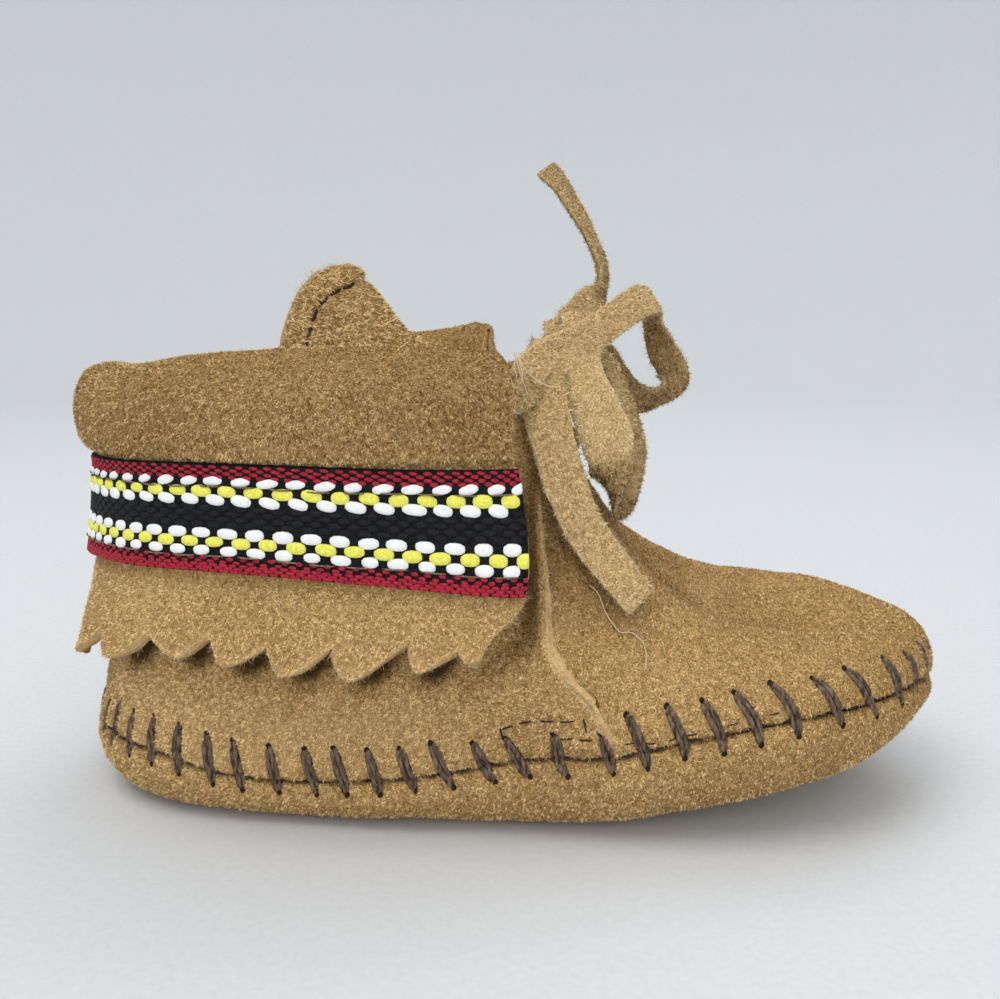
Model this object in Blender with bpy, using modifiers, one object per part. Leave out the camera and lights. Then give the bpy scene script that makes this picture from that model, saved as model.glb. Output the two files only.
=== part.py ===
"""Baby moccasin: a soft suede bootie with a folded cuff, a woven band and a thong bow.

Lengths below are in millimetres and the model is in metres. +X is the toe, +Z is up, the floor is
Z = 0, and the leather is the same on both sides of the plane Y = 0. One function, skin(), gives the
outside of the upper from the rows of SECTIONS. The sole hangs from the same seam line, and the cuff
and its woven band are offsets of the same skin.
"""
import math

import bpy
import numpy as np

MM = 0.001

# Leather and gaps
UPPER_WALL = 1.4
SOLE_WALL = 2.0
INSOLE_WALL = 1.5
TONGUE_WALL = 1.3
CUFF_WALL = 1.3
BAND_WALL = 0.9
GAP = 0.32
LAP_STEP = 1.1           # how far the quarter's front edge stands on the vamp
LAP_START = 5.4          # row of SECTIONS where the quarter starts to lift towards that edge
LAP_ROW = 8.0            # row of SECTIONS that is the quarter's front edge
LAP_FACE = 0.04          # width of the step's face, in rows

# Rows from the heel's middle along one side to the toe's middle.
# seam: where sole and upper meet. edge: the collar, the throat and then the crest of the vamp.
# rise, bulge, lean: the rib leaves the seam upwards, outwards and forwards by these.
# reach, crown: the rib comes to the edge from this far outside and above it.
SECTION_COLUMNS = ("seam_x", "seam_y", "seam_z", "edge_x", "edge_y", "edge_z",
                   "rise", "bulge", "lean", "reach", "crown")
SECTIONS = (
    (-59.4, 0.0, 9.4, -52.8, 0.0, 56.5, 16.0, -3.8, 0.0, 0.2, -16.0),
    (-57.4, 9.0, 9.5, -51.4, 8.2, 56.8, 16.0, -3.8, 0.0, 0.3, -16.0),
    (-52.0, 16.6, 9.6, -47.2, 15.8, 57.5, 16.0, -3.0, 0.0, 0.7, -16.0),
    (-44.2, 21.2, 9.2, -40.7, 21.3, 58.4, 16.0, -0.4, 0.0, 1.0, -17.0),
    (-34.2, 23.0, 7.2, -32.2, 24.3, 59.0, 16.0, 1.8, 0.0, 1.4, -18.0),
    (-21.2, 24.3, 7.0, -22.2, 25.2, 59.4, 16.0, 2.0, 0.0, 1.6, -18.0),
    (-8.2, 25.6, 8.8, -12.2, 24.6, 59.6, 16.0, 1.8, -1.0, 1.8, -18.0),
    (3.8, 27.0, 11.5, -4.6, 22.4, 59.4, 14.0, 1.2, -4.0, 2.4, -18.0),
    (15.3, 28.3, 12.6, 1.2, 19.6, 57.6, 9.5, 0.4, -12.0, 4.2, -17.0),
    (18.8, 28.6, 13.6, 5.4, 14.4, 55.8, 9.5, 0.4, -8.0, 4.4, -11.0),
    (22.4, 28.8, 14.6, 8.6, 7.6, 53.6, 9.5, 0.5, -5.0, 5.2, -6.0),
    (25.8, 28.9, 15.5, 9.8, 0.0, 52.2, 9.5, 0.5, -3.0, 6.2, -3.0),
    (29.3, 28.8, 16.0, 12.4, 0.0, 45.6, 9.2, 0.6, -2.0, 6.6, -2.6),
    (33.3, 28.6, 16.9, 17.2, 0.0, 37.0, 9.0, 0.8, -1.0, 7.4, -2.0),
    (37.3, 28.0, 17.6, 23.2, 0.0, 30.4, 8.8, 0.8, 0.0, 9.0, -1.0),
    (41.8, 26.9, 18.1, 29.8, 0.0, 25.0, 9.0, 0.8, 0.0, 11.0, 1.0),
    (46.3, 25.0, 18.4, 35.6, 0.0, 20.8, 9.2, 0.8, 0.0, 11.5, 3.8),
    (50.8, 22.0, 18.6, 41.4, 0.0, 19.2, 9.4, 0.8, 0.0, 10.5, 6.0),
    (55.0, 17.8, 18.6, 47.0, 0.0, 20.0, 8.8, 0.8, 0.0, 8.5, 5.8),
    (58.6, 12.6, 18.0, 51.2, 0.0, 21.8, 7.6, 0.8, 0.0, 6.5, 4.2),
    (61.2, 6.6, 17.2, 54.2, 0.0, 23.6, 6.6, 0.8, 0.0, 4.5, 2.0),
    (62.2, 0.0, 16.8, 55.2, 0.0, 24.2, 6.2, 0.8, 0.0, 4.0, 1.4),
)
LAST_ROW = len(SECTIONS) - 1
RIB_STOPS = (0.0, 0.05, 0.16, 0.29, 0.43, 0.57, 0.71, 0.85, 1.0)     # places of the points up a rib

# Sole: a dish whose edge turns up to the seam
SOLE_TUCK = (            # x, inset of the sole's flat
    (-59.4, 7.5),
    (-31.0, 7.5),
    (-6.0, 8.5),
    (9.0, 11.0),
    (24.0, 13.0),
    (62.2, 12.0),
)
SPRING_START = 14.0      # in front of this x the sole rises to the toe
SPRING_END = 62.2
SPRING_HEIGHT = 11.5
SPRING_POWER = 1.3
SOLE_SWELL = 1.2
SOLE_STOPS = (0.0, 0.1, 0.3, 0.5, 0.7, 1.0)      # places of the points down the turned-up side
SOLE_FLAT_POINTS = 4
INSOLE_INSET = 1.2
INSOLE_LIFT = 0.45       # above the sole's upper face

# Cuff: rows round the fold, from its inner leg over the roll and down the outside to the hem.
# off: how far the cuff's outer face lies outside the upper's skin, at the back and elsewhere.
# z: its height at the back, the side and the front. x_front: where its front edge is.
CUFF_COLUMNS = ("off_back", "off", "z_back", "z_side", "z_front", "x_front")
CUFF_SECTIONS = (
    (-3.20, -3.20, 50.6, 53.2, 53.4, -1.6),
    (-3.35, -3.35, 55.6, 58.6, 58.8, -0.8),
    (-2.60, -2.60, 58.6, 61.8, 61.9, -0.4),
    (0.20, 0.20, 59.8, 62.9, 62.9, -0.2),
    (3.60, 3.80, 58.4, 61.6, 61.6, 0.0),
    (6.30, 5.90, 55.0, 58.2, 58.0, 0.0),
    (6.50, 5.70, 52.0, 54.2, 53.8, 0.0),
    (4.90, 4.50, 49.7, 51.2, 50.6, 0.6),
    (2.90, 3.10, 48.0, 49.6, 49.0, 1.2),
    (2.70, 2.90, 43.4, 45.0, 44.2, 2.8),
    (2.70, 2.90, 38.4, 40.2, 39.2, 3.5),
    (2.80, 3.00, 33.4, 35.4, 34.2, 3.5),
    (3.10, 3.30, 29.6, 32.4, 31.6, 2.2),
    (3.50, 3.60, 26.4, 29.4, 29.4, 0.0),
    (4.00, 3.90, 20.2, 23.8, 24.4, -3.4),
)
CUFF_BACK = 0.35         # share of the way round by which off takes over from off_back
CUFF_SIDE = 0.5          # share of the way round at which z_side holds
HEM_TEETH = 9            # whole teeth between the back and the front edge, on one side
HEM_DEPTH = 4.0
BAND_ROWS = (8, 11)      # rows of CUFF_SECTIONS that the woven band covers
BAND_END_INSET = 0.006   # share of the cuff's length by which the band stops short

# Tongue: x and z of its crease, half its width, the fold of its sides, their dip and the crease's radius
TONGUE_COLUMNS = ("x", "z", "half", "fold", "dip", "radius")
TONGUE_SECTIONS = (
    (8.1, 47.6, 9.8, 42.0, 24.0, 9.0),
    (6.0, 52.4, 11.8, 44.0, 30.0, 8.0),
    (3.0, 56.6, 14.0, 47.0, 46.0, 7.0),
    (-1.8, 59.8, 17.0, 51.0, 62.0, 6.0),
    (-7.8, 61.6, 19.6, 54.0, 64.0, 5.0),
    (-12.6, 64.6, 20.2, 56.0, 52.0, 4.5),
    (-15.9, 68.4, 17.4, 57.0, 32.0, 4.0),
    (-18.3, 71.4, 13.0, 58.0, 18.0, 4.0),
    (-19.9, 72.9, 9.6, 58.0, 12.0, 4.0),
    (-21.1, 73.7, 5.8, 58.0, 8.0, 4.0),
    (-21.9, 74.1, 1.8, 58.0, 5.0, 4.0),
)
TONGUE_POINTS = 6

# Thong: a flat lace. Its band is a strip, its knot, loops and ends are plain round stretches.
THONG_WIDTH = 4.8
THONG_STEP = 2.6         # distance between the points of a stretch
BAND_EDGE = 0.65         # half the strip's thickness
CORD_RADIUS = 1.2
KNOT_RADIUS = 2.3
BAND_ROUTE = (           # from inside the fold on one side to the middle
    (-7.7, -25.7, 56.3),
    (-3.7, -25.1, 56.4),
    (-0.1, -23.6, 56.9),
    (2.8, -21.9, 57.6),
    (4.9, -18.4, 58.8),
    (5.7, -13.0, 60.2),
    (6.0, -7.0, 61.6),
    (6.0, 0.0, 62.2),
)
KNOT_ROUTE = ((10.0, -9.4, 63.4), (10.3, -6.5, 63.8), (10.3, -3.6, 63.8), (10.0, -0.8, 63.4))
NEAR_END_ROUTE = (
    (8.7, -10.7, 62.8),
    (8.0, -13.8, 60.9),
    (7.7, -17.9, 57.4),
    (8.1, -20.4, 52.9),
    (9.0, -21.2, 48.2),
    (10.2, -21.4, 44.3),
    (11.7, -21.6, 40.8),
    (13.5, -22.2, 38.0),
    (16.1, -23.3, 34.7),
    (18.7, -23.9, 31.8),
)
NEAR_LOOP_ROUTE = (
    (11.3, -11.0, 64.2),
    (11.7, -13.4, 60.6),
    (13.0, -16.2, 55.6),
    (14.6, -17.9, 50.8),
    (15.3, -17.8, 46.4),
    (16.1, -15.5, 42.6),
    (17.8, -13.1, 43.2),
    (18.9, -11.8, 46.8),
    (19.3, -10.8, 50.0),
    (18.6, -9.6, 53.2),
    (17.0, -7.8, 57.4),
    (15.4, -6.8, 60.6),
    (14.0, -6.4, 62.4),
)
FAR_LOOP_ROUTE = (
    (13.7, -3.6, 64.9),
    (16.4, -1.2, 66.9),
    (20.0, 2.4, 69.0),
    (22.2, 6.4, 69.0),
    (22.8, 10.2, 66.0),
    (24.4, 12.6, 61.6),
    (26.2, 13.0, 58.2),
    (25.2, 11.2, 55.6),
    (22.2, 9.0, 54.2),
    (19.2, 7.0, 55.2),
    (17.2, 5.0, 58.4),
    (15.2, 3.0, 61.2),
    (12.4, 1.0, 62.8),
)
FAR_END_ROUTE = (
    (9.8, 0.6, 65.2),
    (11.6, 3.2, 67.4),
    (14.2, 6.4, 69.9),
    (15.0, 8.0, 73.4),
    (13.0, 9.0, 78.6),
    (10.5, 10.0, 83.0),
    (8.4, 11.0, 86.2),
    (6.4, 11.4, 88.3),
)


def spline(rows, at):
    """A row of the table at a fractional row number, on a Catmull-Rom curve through the rows."""
    rows = np.asarray(rows, float)
    at = min(max(at, 0.0), len(rows) - 1.0)
    i = min(int(at), len(rows) - 2)
    t = at - i
    p1, p2 = rows[i], rows[i + 1]
    p0 = rows[i - 1] if i > 0 else 2 * p1 - p2
    p3 = rows[i + 2] if i + 2 < len(rows) else 2 * p2 - p1
    return 0.5 * (2 * p1 + (p2 - p0) * t + (2 * p0 - 5 * p1 + 4 * p2 - p3) * t * t
                  + (3 * p1 - p0 - 3 * p2 + p3) * t ** 3)


def bezier(p0, p1, p2, p3, t):
    s = 1.0 - t
    return s ** 3 * p0 + 3 * s * s * t * p1 + 3 * s * t * t * p2 + t ** 3 * p3


def mirrored_sections():
    """The sections with one more row past each end, mirrored in Y, so that both ends run square to it."""
    flip = np.array([-1.0 if name in ("seam_y", "edge_y") else 1.0 for name in SECTION_COLUMNS])
    rows = np.array(SECTIONS)
    return np.vstack([rows[1] * flip, rows, rows[-2] * flip])


ALL_ROWS = mirrored_sections()


def section(u):
    """The section at row u, as a dictionary of its columns."""
    return dict(zip(SECTION_COLUMNS, spline(ALL_ROWS, u + 1.0)))


def outward(u):
    """The level direction square to the seam line at row u."""
    step = 0.01
    a, b = section(max(u - step, -0.9)), section(min(u + step, LAST_ROW + 0.9))
    along = np.array([b["seam_x"] - a["seam_x"], b["seam_y"] - a["seam_y"]])
    along /= np.linalg.norm(along)
    return np.array([-along[1], along[0], 0.0])


def skin(u, v):
    """The upper's outer skin: row u, and v from 0 at the seam to 1 at the edge."""
    row = section(u)
    out = outward(u)
    seam = np.array([row["seam_x"], row["seam_y"], row["seam_z"]])
    edge = np.array([row["edge_x"], row["edge_y"], row["edge_z"]])
    leave = seam + out * row["bulge"] + np.array([row["lean"], 0.0, row["rise"]])
    arrive = edge + out * row["reach"] + np.array([0.0, 0.0, row["crown"]])
    return bezier(seam, leave, arrive, edge, v)


def skin_normal(u, v):
    step = 0.01
    along = skin(min(u + step, LAST_ROW + 0.5), v) - skin(max(u - step, -0.5), v)
    up = skin(u, min(v + step, 1.0)) - skin(u, max(v - step, 0.0))
    normal = np.cross(up, along)
    return normal / np.linalg.norm(normal)


def lap(u):
    """How far the quarter stands proud of the skin: nothing at the side, a full step at its front edge."""
    if u < LAP_START or u > LAP_ROW:
        return 0.0
    share = (u - LAP_START) / (LAP_ROW - LAP_START)
    return LAP_STEP * share * share * (3.0 - 2.0 * share)


def spring(x):
    """Height of the sole's underside."""
    if x < SPRING_START:
        return 0.0
    return SPRING_HEIGHT * ((x - SPRING_START) / (SPRING_END - SPRING_START)) ** SPRING_POWER


def tuck(x):
    return float(np.interp(x, [row[0] for row in SOLE_TUCK], [row[1] for row in SOLE_TUCK]))


# ---------------------------------------------------------------- scene helpers

for old in list(bpy.data.objects):
    bpy.data.objects.remove(old, do_unlink=True)

moccasin = bpy.data.collections.new("baby_moccasin")
bpy.context.scene.collection.children.link(moccasin)


def material(name, colour, roughness, sheen=0.0):
    """One plain finish."""
    mat = bpy.data.materials.new(name)
    mat.use_nodes = True
    shader = mat.node_tree.nodes["Principled BSDF"]
    shader.inputs["Base Color"].default_value = (*colour, 1.0)
    shader.inputs["Roughness"].default_value = roughness
    shader.inputs["Metallic"].default_value = 0.0
    shader.inputs["Sheen Weight"].default_value = sheen
    return mat


def half_sheet(name, grid, thickness, mat, outside_first=True):
    """A sheet of leather: one half as a grid of points, mirrored in Y, and thickened inwards."""
    mesh = bpy.data.meshes.new(name)
    ribs, rows = len(grid), len(grid[0])
    points = [tuple(np.asarray(p) * MM) for rib in grid for p in rib]
    faces = []
    for i in range(ribs - 1):
        for j in range(rows - 1):
            a = i * rows + j
            face = (a, a + 1, a + rows + 1, a + rows)
            faces.append(face if outside_first else face[::-1])
    mesh.from_pydata(points, [], faces)
    mesh.shade_smooth()
    obj = bpy.data.objects.new(name, mesh)
    moccasin.objects.link(obj)
    mesh.materials.append(mat)
    mirror = obj.modifiers.new("other_side", "MIRROR")
    mirror.use_axis = (False, True, False)
    mirror.use_clip = True
    mirror.merge_threshold = 0.00002
    solid = obj.modifiers.new("wall", "SOLIDIFY")
    solid.thickness = thickness * MM
    solid.offset = -1.0
    solid.use_even_offset = True
    solid.use_rim = True
    return obj


# ---------------------------------------------------------------- the last's form: upper, sole, insole

def upper_rows():
    """Row numbers of the upper's ribs, with two ribs at the quarter's front edge."""
    rows = list(np.arange(0.0, LAP_ROW - 0.25, 0.5))
    rows += [LAP_ROW, LAP_ROW + LAP_FACE]
    rows += list(np.arange(LAP_ROW + 0.5, LAST_ROW + 0.01, 0.5))
    return rows


def build_upper(mat):
    """Vamp and quarter as one hollow wall, open at the collar, the throat and underneath."""
    grid = []
    for u in upper_rows():
        rib = []
        for v in RIB_STOPS:
            point = skin(u, max(v, RIB_STOPS[1])) + skin_normal(u, v) * lap(u)
            if v == 0.0:
                point[2] = section(u)["seam_z"] + GAP / 2
            if u in (0.0, LAST_ROW) or (v == 1.0 and section(u)["edge_y"] < 1e-6):
                point[1] = 0.0
            rib.append(point)
        grid.append(rib)
    return half_sheet("upper", grid, UPPER_WALL, mat)


def flat_edge(u, inset):
    """Where the sole's flat begins at row u."""
    row = section(u)
    point = np.array([row["seam_x"], row["seam_y"], 0.0]) - outward(u) * inset
    point[1] = max(point[1], 0.0)
    point[2] = spring(point[0])
    return point


def middle_of_flat(u, inset):
    """The point of the sole's middle line that row u runs to."""
    heel, toe = flat_edge(0.0, inset)[0], flat_edge(LAST_ROW, inset)[0]
    share = u / LAST_ROW
    x = heel + 8.0 + (toe - heel - 16.0) * share
    return np.array([x, 0.0, spring(x)])


def sole_rows():
    return np.linspace(0.0, LAST_ROW, 2 * LAST_ROW + 1)


def build_sole(mat):
    """A soft dish: flat under heel and ball, turned up all round to the seam."""
    grid = []
    for u in sole_rows():
        row = section(u)
        out = outward(u)
        seam = np.array([row["seam_x"], row["seam_y"], row["seam_z"] - GAP / 2])
        foot = flat_edge(u, tuck(row["seam_x"]))
        drop = 0.62 * (seam[2] - foot[2])
        leave = seam + out * SOLE_SWELL - np.array([0.0, 0.0, drop])
        arrive = foot + out * 0.55 * tuck(row["seam_x"])
        middle = middle_of_flat(u, tuck(row["seam_x"]))
        rib = [bezier(seam, leave, arrive, foot, max(t, SOLE_STOPS[1])) for t in SOLE_STOPS]
        rib[0][2] = seam[2]
        for share in np.linspace(0.0, 1.0, SOLE_FLAT_POINTS)[1:]:
            point = foot + (middle - foot) * share
            point[2] = spring(point[0])
            rib.append(point)
        if u in (0.0, LAST_ROW):
            for point in rib:
                point[1] = 0.0
        grid.append(rib)
    return half_sheet("sole", grid, SOLE_WALL, mat, outside_first=False)


def build_insole(mat):
    """A thin insole that lies in the sole."""
    grid = []
    for u in range(LAST_ROW + 1):
        inset = tuck(section(u)["seam_x"]) + INSOLE_INSET
        foot, middle = flat_edge(u, inset), middle_of_flat(u, inset)
        rib = [foot + (middle - foot) * share for share in np.linspace(0.0, 1.0, SOLE_FLAT_POINTS)]
        for point in rib:
            point[2] = spring(point[0]) + SOLE_WALL + INSOLE_LIFT
            if u in (0, LAST_ROW):
                point[1] = 0.0
        grid.append(rib)
    return half_sheet("insole", grid, INSOLE_WALL, mat, outside_first=False)


# ---------------------------------------------------------------- cuff and woven band

RIB_TABLE = []
for u in np.linspace(0.0, LAP_ROW, 33):
    RIB_TABLE.append(np.array([skin(u, v) for v in np.linspace(0.0, 1.0, 41)]))


def level_line(z, x_front):
    """The skin's level section at height z, from the back's middle to x_front: 0..1 along its length."""
    line = np.array([[np.interp(z, rib[:, 2], rib[:, 0]), np.interp(z, rib[:, 2], rib[:, 1])]
                     for rib in RIB_TABLE])
    ahead = np.nonzero(line[:, 0] > x_front)[0]
    if len(ahead):
        k = ahead[0]
        share = (x_front - line[k - 1, 0]) / (line[k, 0] - line[k - 1, 0])
        line = np.vstack([line[:k], line[k - 1] + (line[k] - line[k - 1]) * share])
    return line


def along_line(line, a):
    """Point and outward direction at share a of the line's length."""
    seg = np.linalg.norm(np.diff(line, axis=0), axis=1)
    run = np.concatenate([[0.0], np.cumsum(seg)])
    def at(share):
        s = share * run[-1]
        return np.array([np.interp(s, run, line[:, 0]), np.interp(s, run, line[:, 1])])
    near, far = at(max(a - 0.03, 0.0)), at(min(a + 0.03, 1.0))
    if a < 0.03:
        near = at(0.03 - a) * np.array([1.0, -1.0])
    tangent = (far - near) / np.linalg.norm(far - near)
    return at(a), np.array([-tangent[1], tangent[0]])


def blend(low, high, share):
    """From low to high with level ends."""
    share = min(max(share, 0.0), 1.0)
    return low + (high - low) * 0.5 * (1.0 - math.cos(math.pi * share))


def cuff_point(a, s, extra=0.0, lower=0.0):
    """Share a of the way round from the back to the front edge, row s of the cuff's section."""
    row = dict(zip(CUFF_COLUMNS, spline(CUFF_SECTIONS, s)))
    if a < CUFF_SIDE:
        z = blend(row["z_back"], row["z_side"], a / CUFF_SIDE)
    else:
        z = blend(row["z_side"], row["z_front"], (a - CUFF_SIDE) / (1.0 - CUFF_SIDE))
    place, out = along_line(level_line(z - lower, row["x_front"]), a)
    off = blend(row["off_back"], row["off"], a / CUFF_BACK) + extra
    return np.array([place[0] + out[0] * off, place[1] + out[1] * off, z - lower])


CUFF_SHARES = np.linspace(0.0, 1.0, 2 * HEM_TEETH + 2)


def build_cuff(mat):
    """The collar folded out and down, with a pinked hem."""
    hem = len(CUFF_SECTIONS) - 1
    grid = []
    for i, a in enumerate(CUFF_SHARES):
        rib = [cuff_point(a, s) for s in range(hem)]
        rib.append(cuff_point(a, hem, 0.0, -HEM_DEPTH if i % 2 else 0.0))
        if i == 0:
            for point in rib:
                point[1] = 0.0
        grid.append(rib)
    return half_sheet("cuff", grid, CUFF_WALL, mat, outside_first=False)


def build_band(mat):
    """The woven band round the cuff."""
    first, last = BAND_ROWS
    shares = np.append(CUFF_SHARES[:-1], 1.0 - BAND_END_INSET)
    grid = []
    for a in shares:
        rib = [cuff_point(a, s, GAP + BAND_WALL) for s in range(first, last + 1)]
        if a == 0.0:
            for point in rib:
                point[1] = 0.0
        grid.append(rib)
    return half_sheet("woven_band", grid, BAND_WALL, mat, outside_first=False)


# ---------------------------------------------------------------- tongue

def tongue_point(s, share):
    """Row s of the tongue, share 0 on its crease to 1 at its side edge."""
    row = dict(zip(TONGUE_COLUMNS, spline(TONGUE_SECTIONS, s)))
    dip, fold = math.radians(row["dip"]), math.radians(row["fold"])
    run = share * row["half"]
    turn = min(run / row["radius"], fold)
    straight = run - turn * row["radius"]
    side = row["radius"] * math.sin(turn) + straight * math.cos(turn)
    deep = row["radius"] * (1.0 - math.cos(turn)) + straight * math.sin(turn)
    return np.array([row["x"] - deep * math.cos(dip), side, row["z"] - deep * math.sin(dip)])


def build_tongue(mat):
    """A pointed tongue, creased down its middle, that rises through the throat."""
    grid = []
    for s in np.linspace(0.0, len(TONGUE_SECTIONS) - 1, 2 * len(TONGUE_SECTIONS) - 1):
        grid.append([tongue_point(s, share) for share in np.linspace(0.0, 1.0, TONGUE_POINTS)])
    return half_sheet("tongue", grid, TONGUE_WALL, mat, outside_first=False)


# ---------------------------------------------------------------- thong

def smooth_route(points, spacing):
    """Points about one spacing apart on a smooth curve through the route's own points."""
    dense = np.array([spline(points, at) for at in np.linspace(0.0, len(points) - 1.0, 40 * len(points))])
    run = np.concatenate([[0.0], np.cumsum(np.linalg.norm(np.diff(dense, axis=0), axis=1))])
    count = max(int(round(run[-1] / spacing)), 3)
    stops = np.linspace(0.0, run[-1], count + 1)
    return np.array([[np.interp(stop, run, dense[:, k]) for k in range(3)] for stop in stops])


def curve_piece(name, route, spacing, half_width, radius, resolution, mat):
    """A thong on a curve: a tube, or a flat upright strip where half_width is given."""
    data = bpy.data.curves.new(name, "CURVE")
    data.dimensions = "3D"
    data.twist_mode = "Z_UP"
    data.resolution_u = 1
    data.render_resolution_u = 0
    data.extrude = half_width * MM
    data.bevel_depth = radius * MM
    data.bevel_resolution = resolution
    data.use_fill_caps = True
    path = data.splines.new("POLY")
    points = smooth_route(route, spacing)
    path.points.add(len(points) - 1)
    for slot, point in zip(path.points, points):
        slot.co = (*(point * MM), 1.0)
    data.materials.append(mat)
    obj = bpy.data.objects.new(name, data)
    moccasin.objects.link(obj)
    return obj


def build_thong(mat):
    """The strip that comes out of both ends of the fold, and the knot, loops and ends of its bow."""
    far_side = [(x, -y, z) for x, y, z in BAND_ROUTE[-2::-1]]
    curve_piece("thong_band", list(BAND_ROUTE) + far_side, THONG_STEP, THONG_WIDTH / 2 - BAND_EDGE,
                BAND_EDGE, 0, mat)
    curve_piece("thong_knot", KNOT_ROUTE, THONG_STEP, 0.0, KNOT_RADIUS, 2, mat)
    for name, route in (("thong_end_near", NEAR_END_ROUTE), ("thong_loop_near", NEAR_LOOP_ROUTE),
                        ("thong_loop_far", FAR_LOOP_ROUTE), ("thong_end_far", FAR_END_ROUTE)):
        curve_piece(name, route, THONG_STEP, 0.0, CORD_RADIUS, 2, mat)


suede = material("suede", (0.50, 0.33, 0.15), 0.95, 0.3)
sole_suede = material("sole_suede", (0.50, 0.33, 0.15), 0.95, 0.3)
insole_felt = material("insole_felt", (0.58, 0.45, 0.28), 0.95, 0.2)
thong_suede = material("thong_suede", (0.52, 0.38, 0.20), 0.95, 0.3)
woven = material("woven_trim", (0.02, 0.02, 0.02), 0.8)

build_sole(sole_suede)
build_upper(suede)
build_insole(insole_felt)
build_tongue(suede)
build_cuff(suede)
build_band(woven)
build_thong(thong_suede)
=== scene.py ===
"""Baby moccasin, dressed: suede, whip stitches, woven band and thong bow."""
import math

import bpy
import numpy as np
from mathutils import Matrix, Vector, noise


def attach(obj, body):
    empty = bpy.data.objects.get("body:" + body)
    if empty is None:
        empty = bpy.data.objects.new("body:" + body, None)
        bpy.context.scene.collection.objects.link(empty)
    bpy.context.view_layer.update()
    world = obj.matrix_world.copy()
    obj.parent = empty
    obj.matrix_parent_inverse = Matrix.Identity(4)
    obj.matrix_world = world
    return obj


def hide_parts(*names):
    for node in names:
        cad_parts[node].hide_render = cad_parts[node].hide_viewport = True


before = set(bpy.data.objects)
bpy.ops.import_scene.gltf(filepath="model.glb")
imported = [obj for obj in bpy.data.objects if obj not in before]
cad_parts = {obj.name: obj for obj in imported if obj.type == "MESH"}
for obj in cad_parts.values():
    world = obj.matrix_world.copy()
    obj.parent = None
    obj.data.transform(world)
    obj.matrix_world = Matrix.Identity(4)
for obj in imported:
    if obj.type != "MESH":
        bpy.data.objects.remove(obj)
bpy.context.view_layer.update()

MM = 0.001
SIDES = ((-1.0, "near"), (1.0, "far"))

# ================================================================ the shoe's form, in millimetres

# Leather and gaps
UPPER_WALL = 1.3
SOLE_WALL = 1.9
TONGUE_WALL = 1.25
CUFF_WALL = 1.25
BAND_GROUND_WALL = 0.85
BAND_WALL = 0.9          # the solid band's, which places its outer face
GAP = 0.32
LAP_STEP = 1.1           # how far the quarter's front edge stands on the vamp
LAP_START = 5.4          # row of SECTIONS where the quarter starts to lift towards that edge
LAP_ROW = 8.0            # row of SECTIONS that is the quarter's front edge
LAP_FACE = 0.12          # width of the step's face, in rows

# Rows from the heel's middle along one side to the toe's middle.
# seam: where sole and upper meet. edge: the collar, the throat and then the crest of the vamp.
# rise, bulge, lean: the rib leaves the seam upwards, outwards and forwards by these.
# reach, crown: the rib comes to the edge from this far outside and above it.
SECTION_COLUMNS = ("seam_x", "seam_y", "seam_z", "edge_x", "edge_y", "edge_z",
                   "rise", "bulge", "lean", "reach", "crown")
SECTIONS = (
    (-59.4, 0.0, 9.4, -52.8, 0.0, 56.5, 16.0, -3.8, 0.0, 0.2, -16.0),
    (-57.4, 9.0, 9.5, -51.4, 8.2, 56.8, 16.0, -3.8, 0.0, 0.3, -16.0),
    (-52.0, 16.6, 9.6, -47.2, 15.8, 57.5, 16.0, -3.0, 0.0, 0.7, -16.0),
    (-44.2, 21.2, 9.2, -40.7, 21.3, 58.4, 16.0, -0.4, 0.0, 1.0, -17.0),
    (-34.2, 23.0, 7.2, -32.2, 24.3, 59.0, 16.0, 1.8, 0.0, 1.4, -18.0),
    (-21.2, 24.3, 7.0, -22.2, 25.2, 59.4, 16.0, 2.0, 0.0, 1.6, -18.0),
    (-8.2, 25.6, 8.8, -12.2, 24.6, 59.6, 16.0, 1.8, -1.0, 1.8, -18.0),
    (3.8, 27.0, 11.5, -4.6, 22.4, 59.4, 14.0, 1.2, -4.0, 2.4, -18.0),
    (15.3, 28.3, 12.6, 1.2, 19.6, 57.6, 9.5, 0.4, -12.0, 4.2, -17.0),
    (18.8, 28.6, 13.6, 5.4, 14.4, 55.8, 9.5, 0.4, -8.0, 4.4, -11.0),
    (22.4, 28.8, 14.6, 8.6, 7.6, 53.6, 9.5, 0.5, -5.0, 5.2, -6.0),
    (25.8, 28.9, 15.5, 9.8, 0.0, 52.2, 9.5, 0.5, -3.0, 6.2, -3.0),
    (29.3, 28.8, 16.0, 12.4, 0.0, 45.6, 9.2, 0.6, -2.0, 6.6, -2.6),
    (33.3, 28.6, 16.9, 17.2, 0.0, 37.0, 9.0, 0.8, -1.0, 7.4, -2.0),
    (37.3, 28.0, 17.6, 23.2, 0.0, 30.4, 8.8, 0.8, 0.0, 9.0, -1.0),
    (41.8, 26.9, 18.1, 29.8, 0.0, 25.0, 9.0, 0.8, 0.0, 11.0, 1.0),
    (46.3, 25.0, 18.4, 35.6, 0.0, 20.8, 9.2, 0.8, 0.0, 11.5, 3.8),
    (50.8, 22.0, 18.6, 41.4, 0.0, 19.2, 9.4, 0.8, 0.0, 10.5, 6.0),
    (55.0, 17.8, 18.6, 47.0, 0.0, 20.0, 8.8, 0.8, 0.0, 8.5, 5.8),
    (58.6, 12.6, 18.0, 51.2, 0.0, 21.8, 7.6, 0.8, 0.0, 6.5, 4.2),
    (61.2, 6.6, 17.2, 54.2, 0.0, 23.6, 6.6, 0.8, 0.0, 4.5, 2.0),
    (62.2, 0.0, 16.8, 55.2, 0.0, 24.2, 6.2, 0.8, 0.0, 4.0, 1.4),
)
LAST_ROW = len(SECTIONS) - 1
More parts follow.
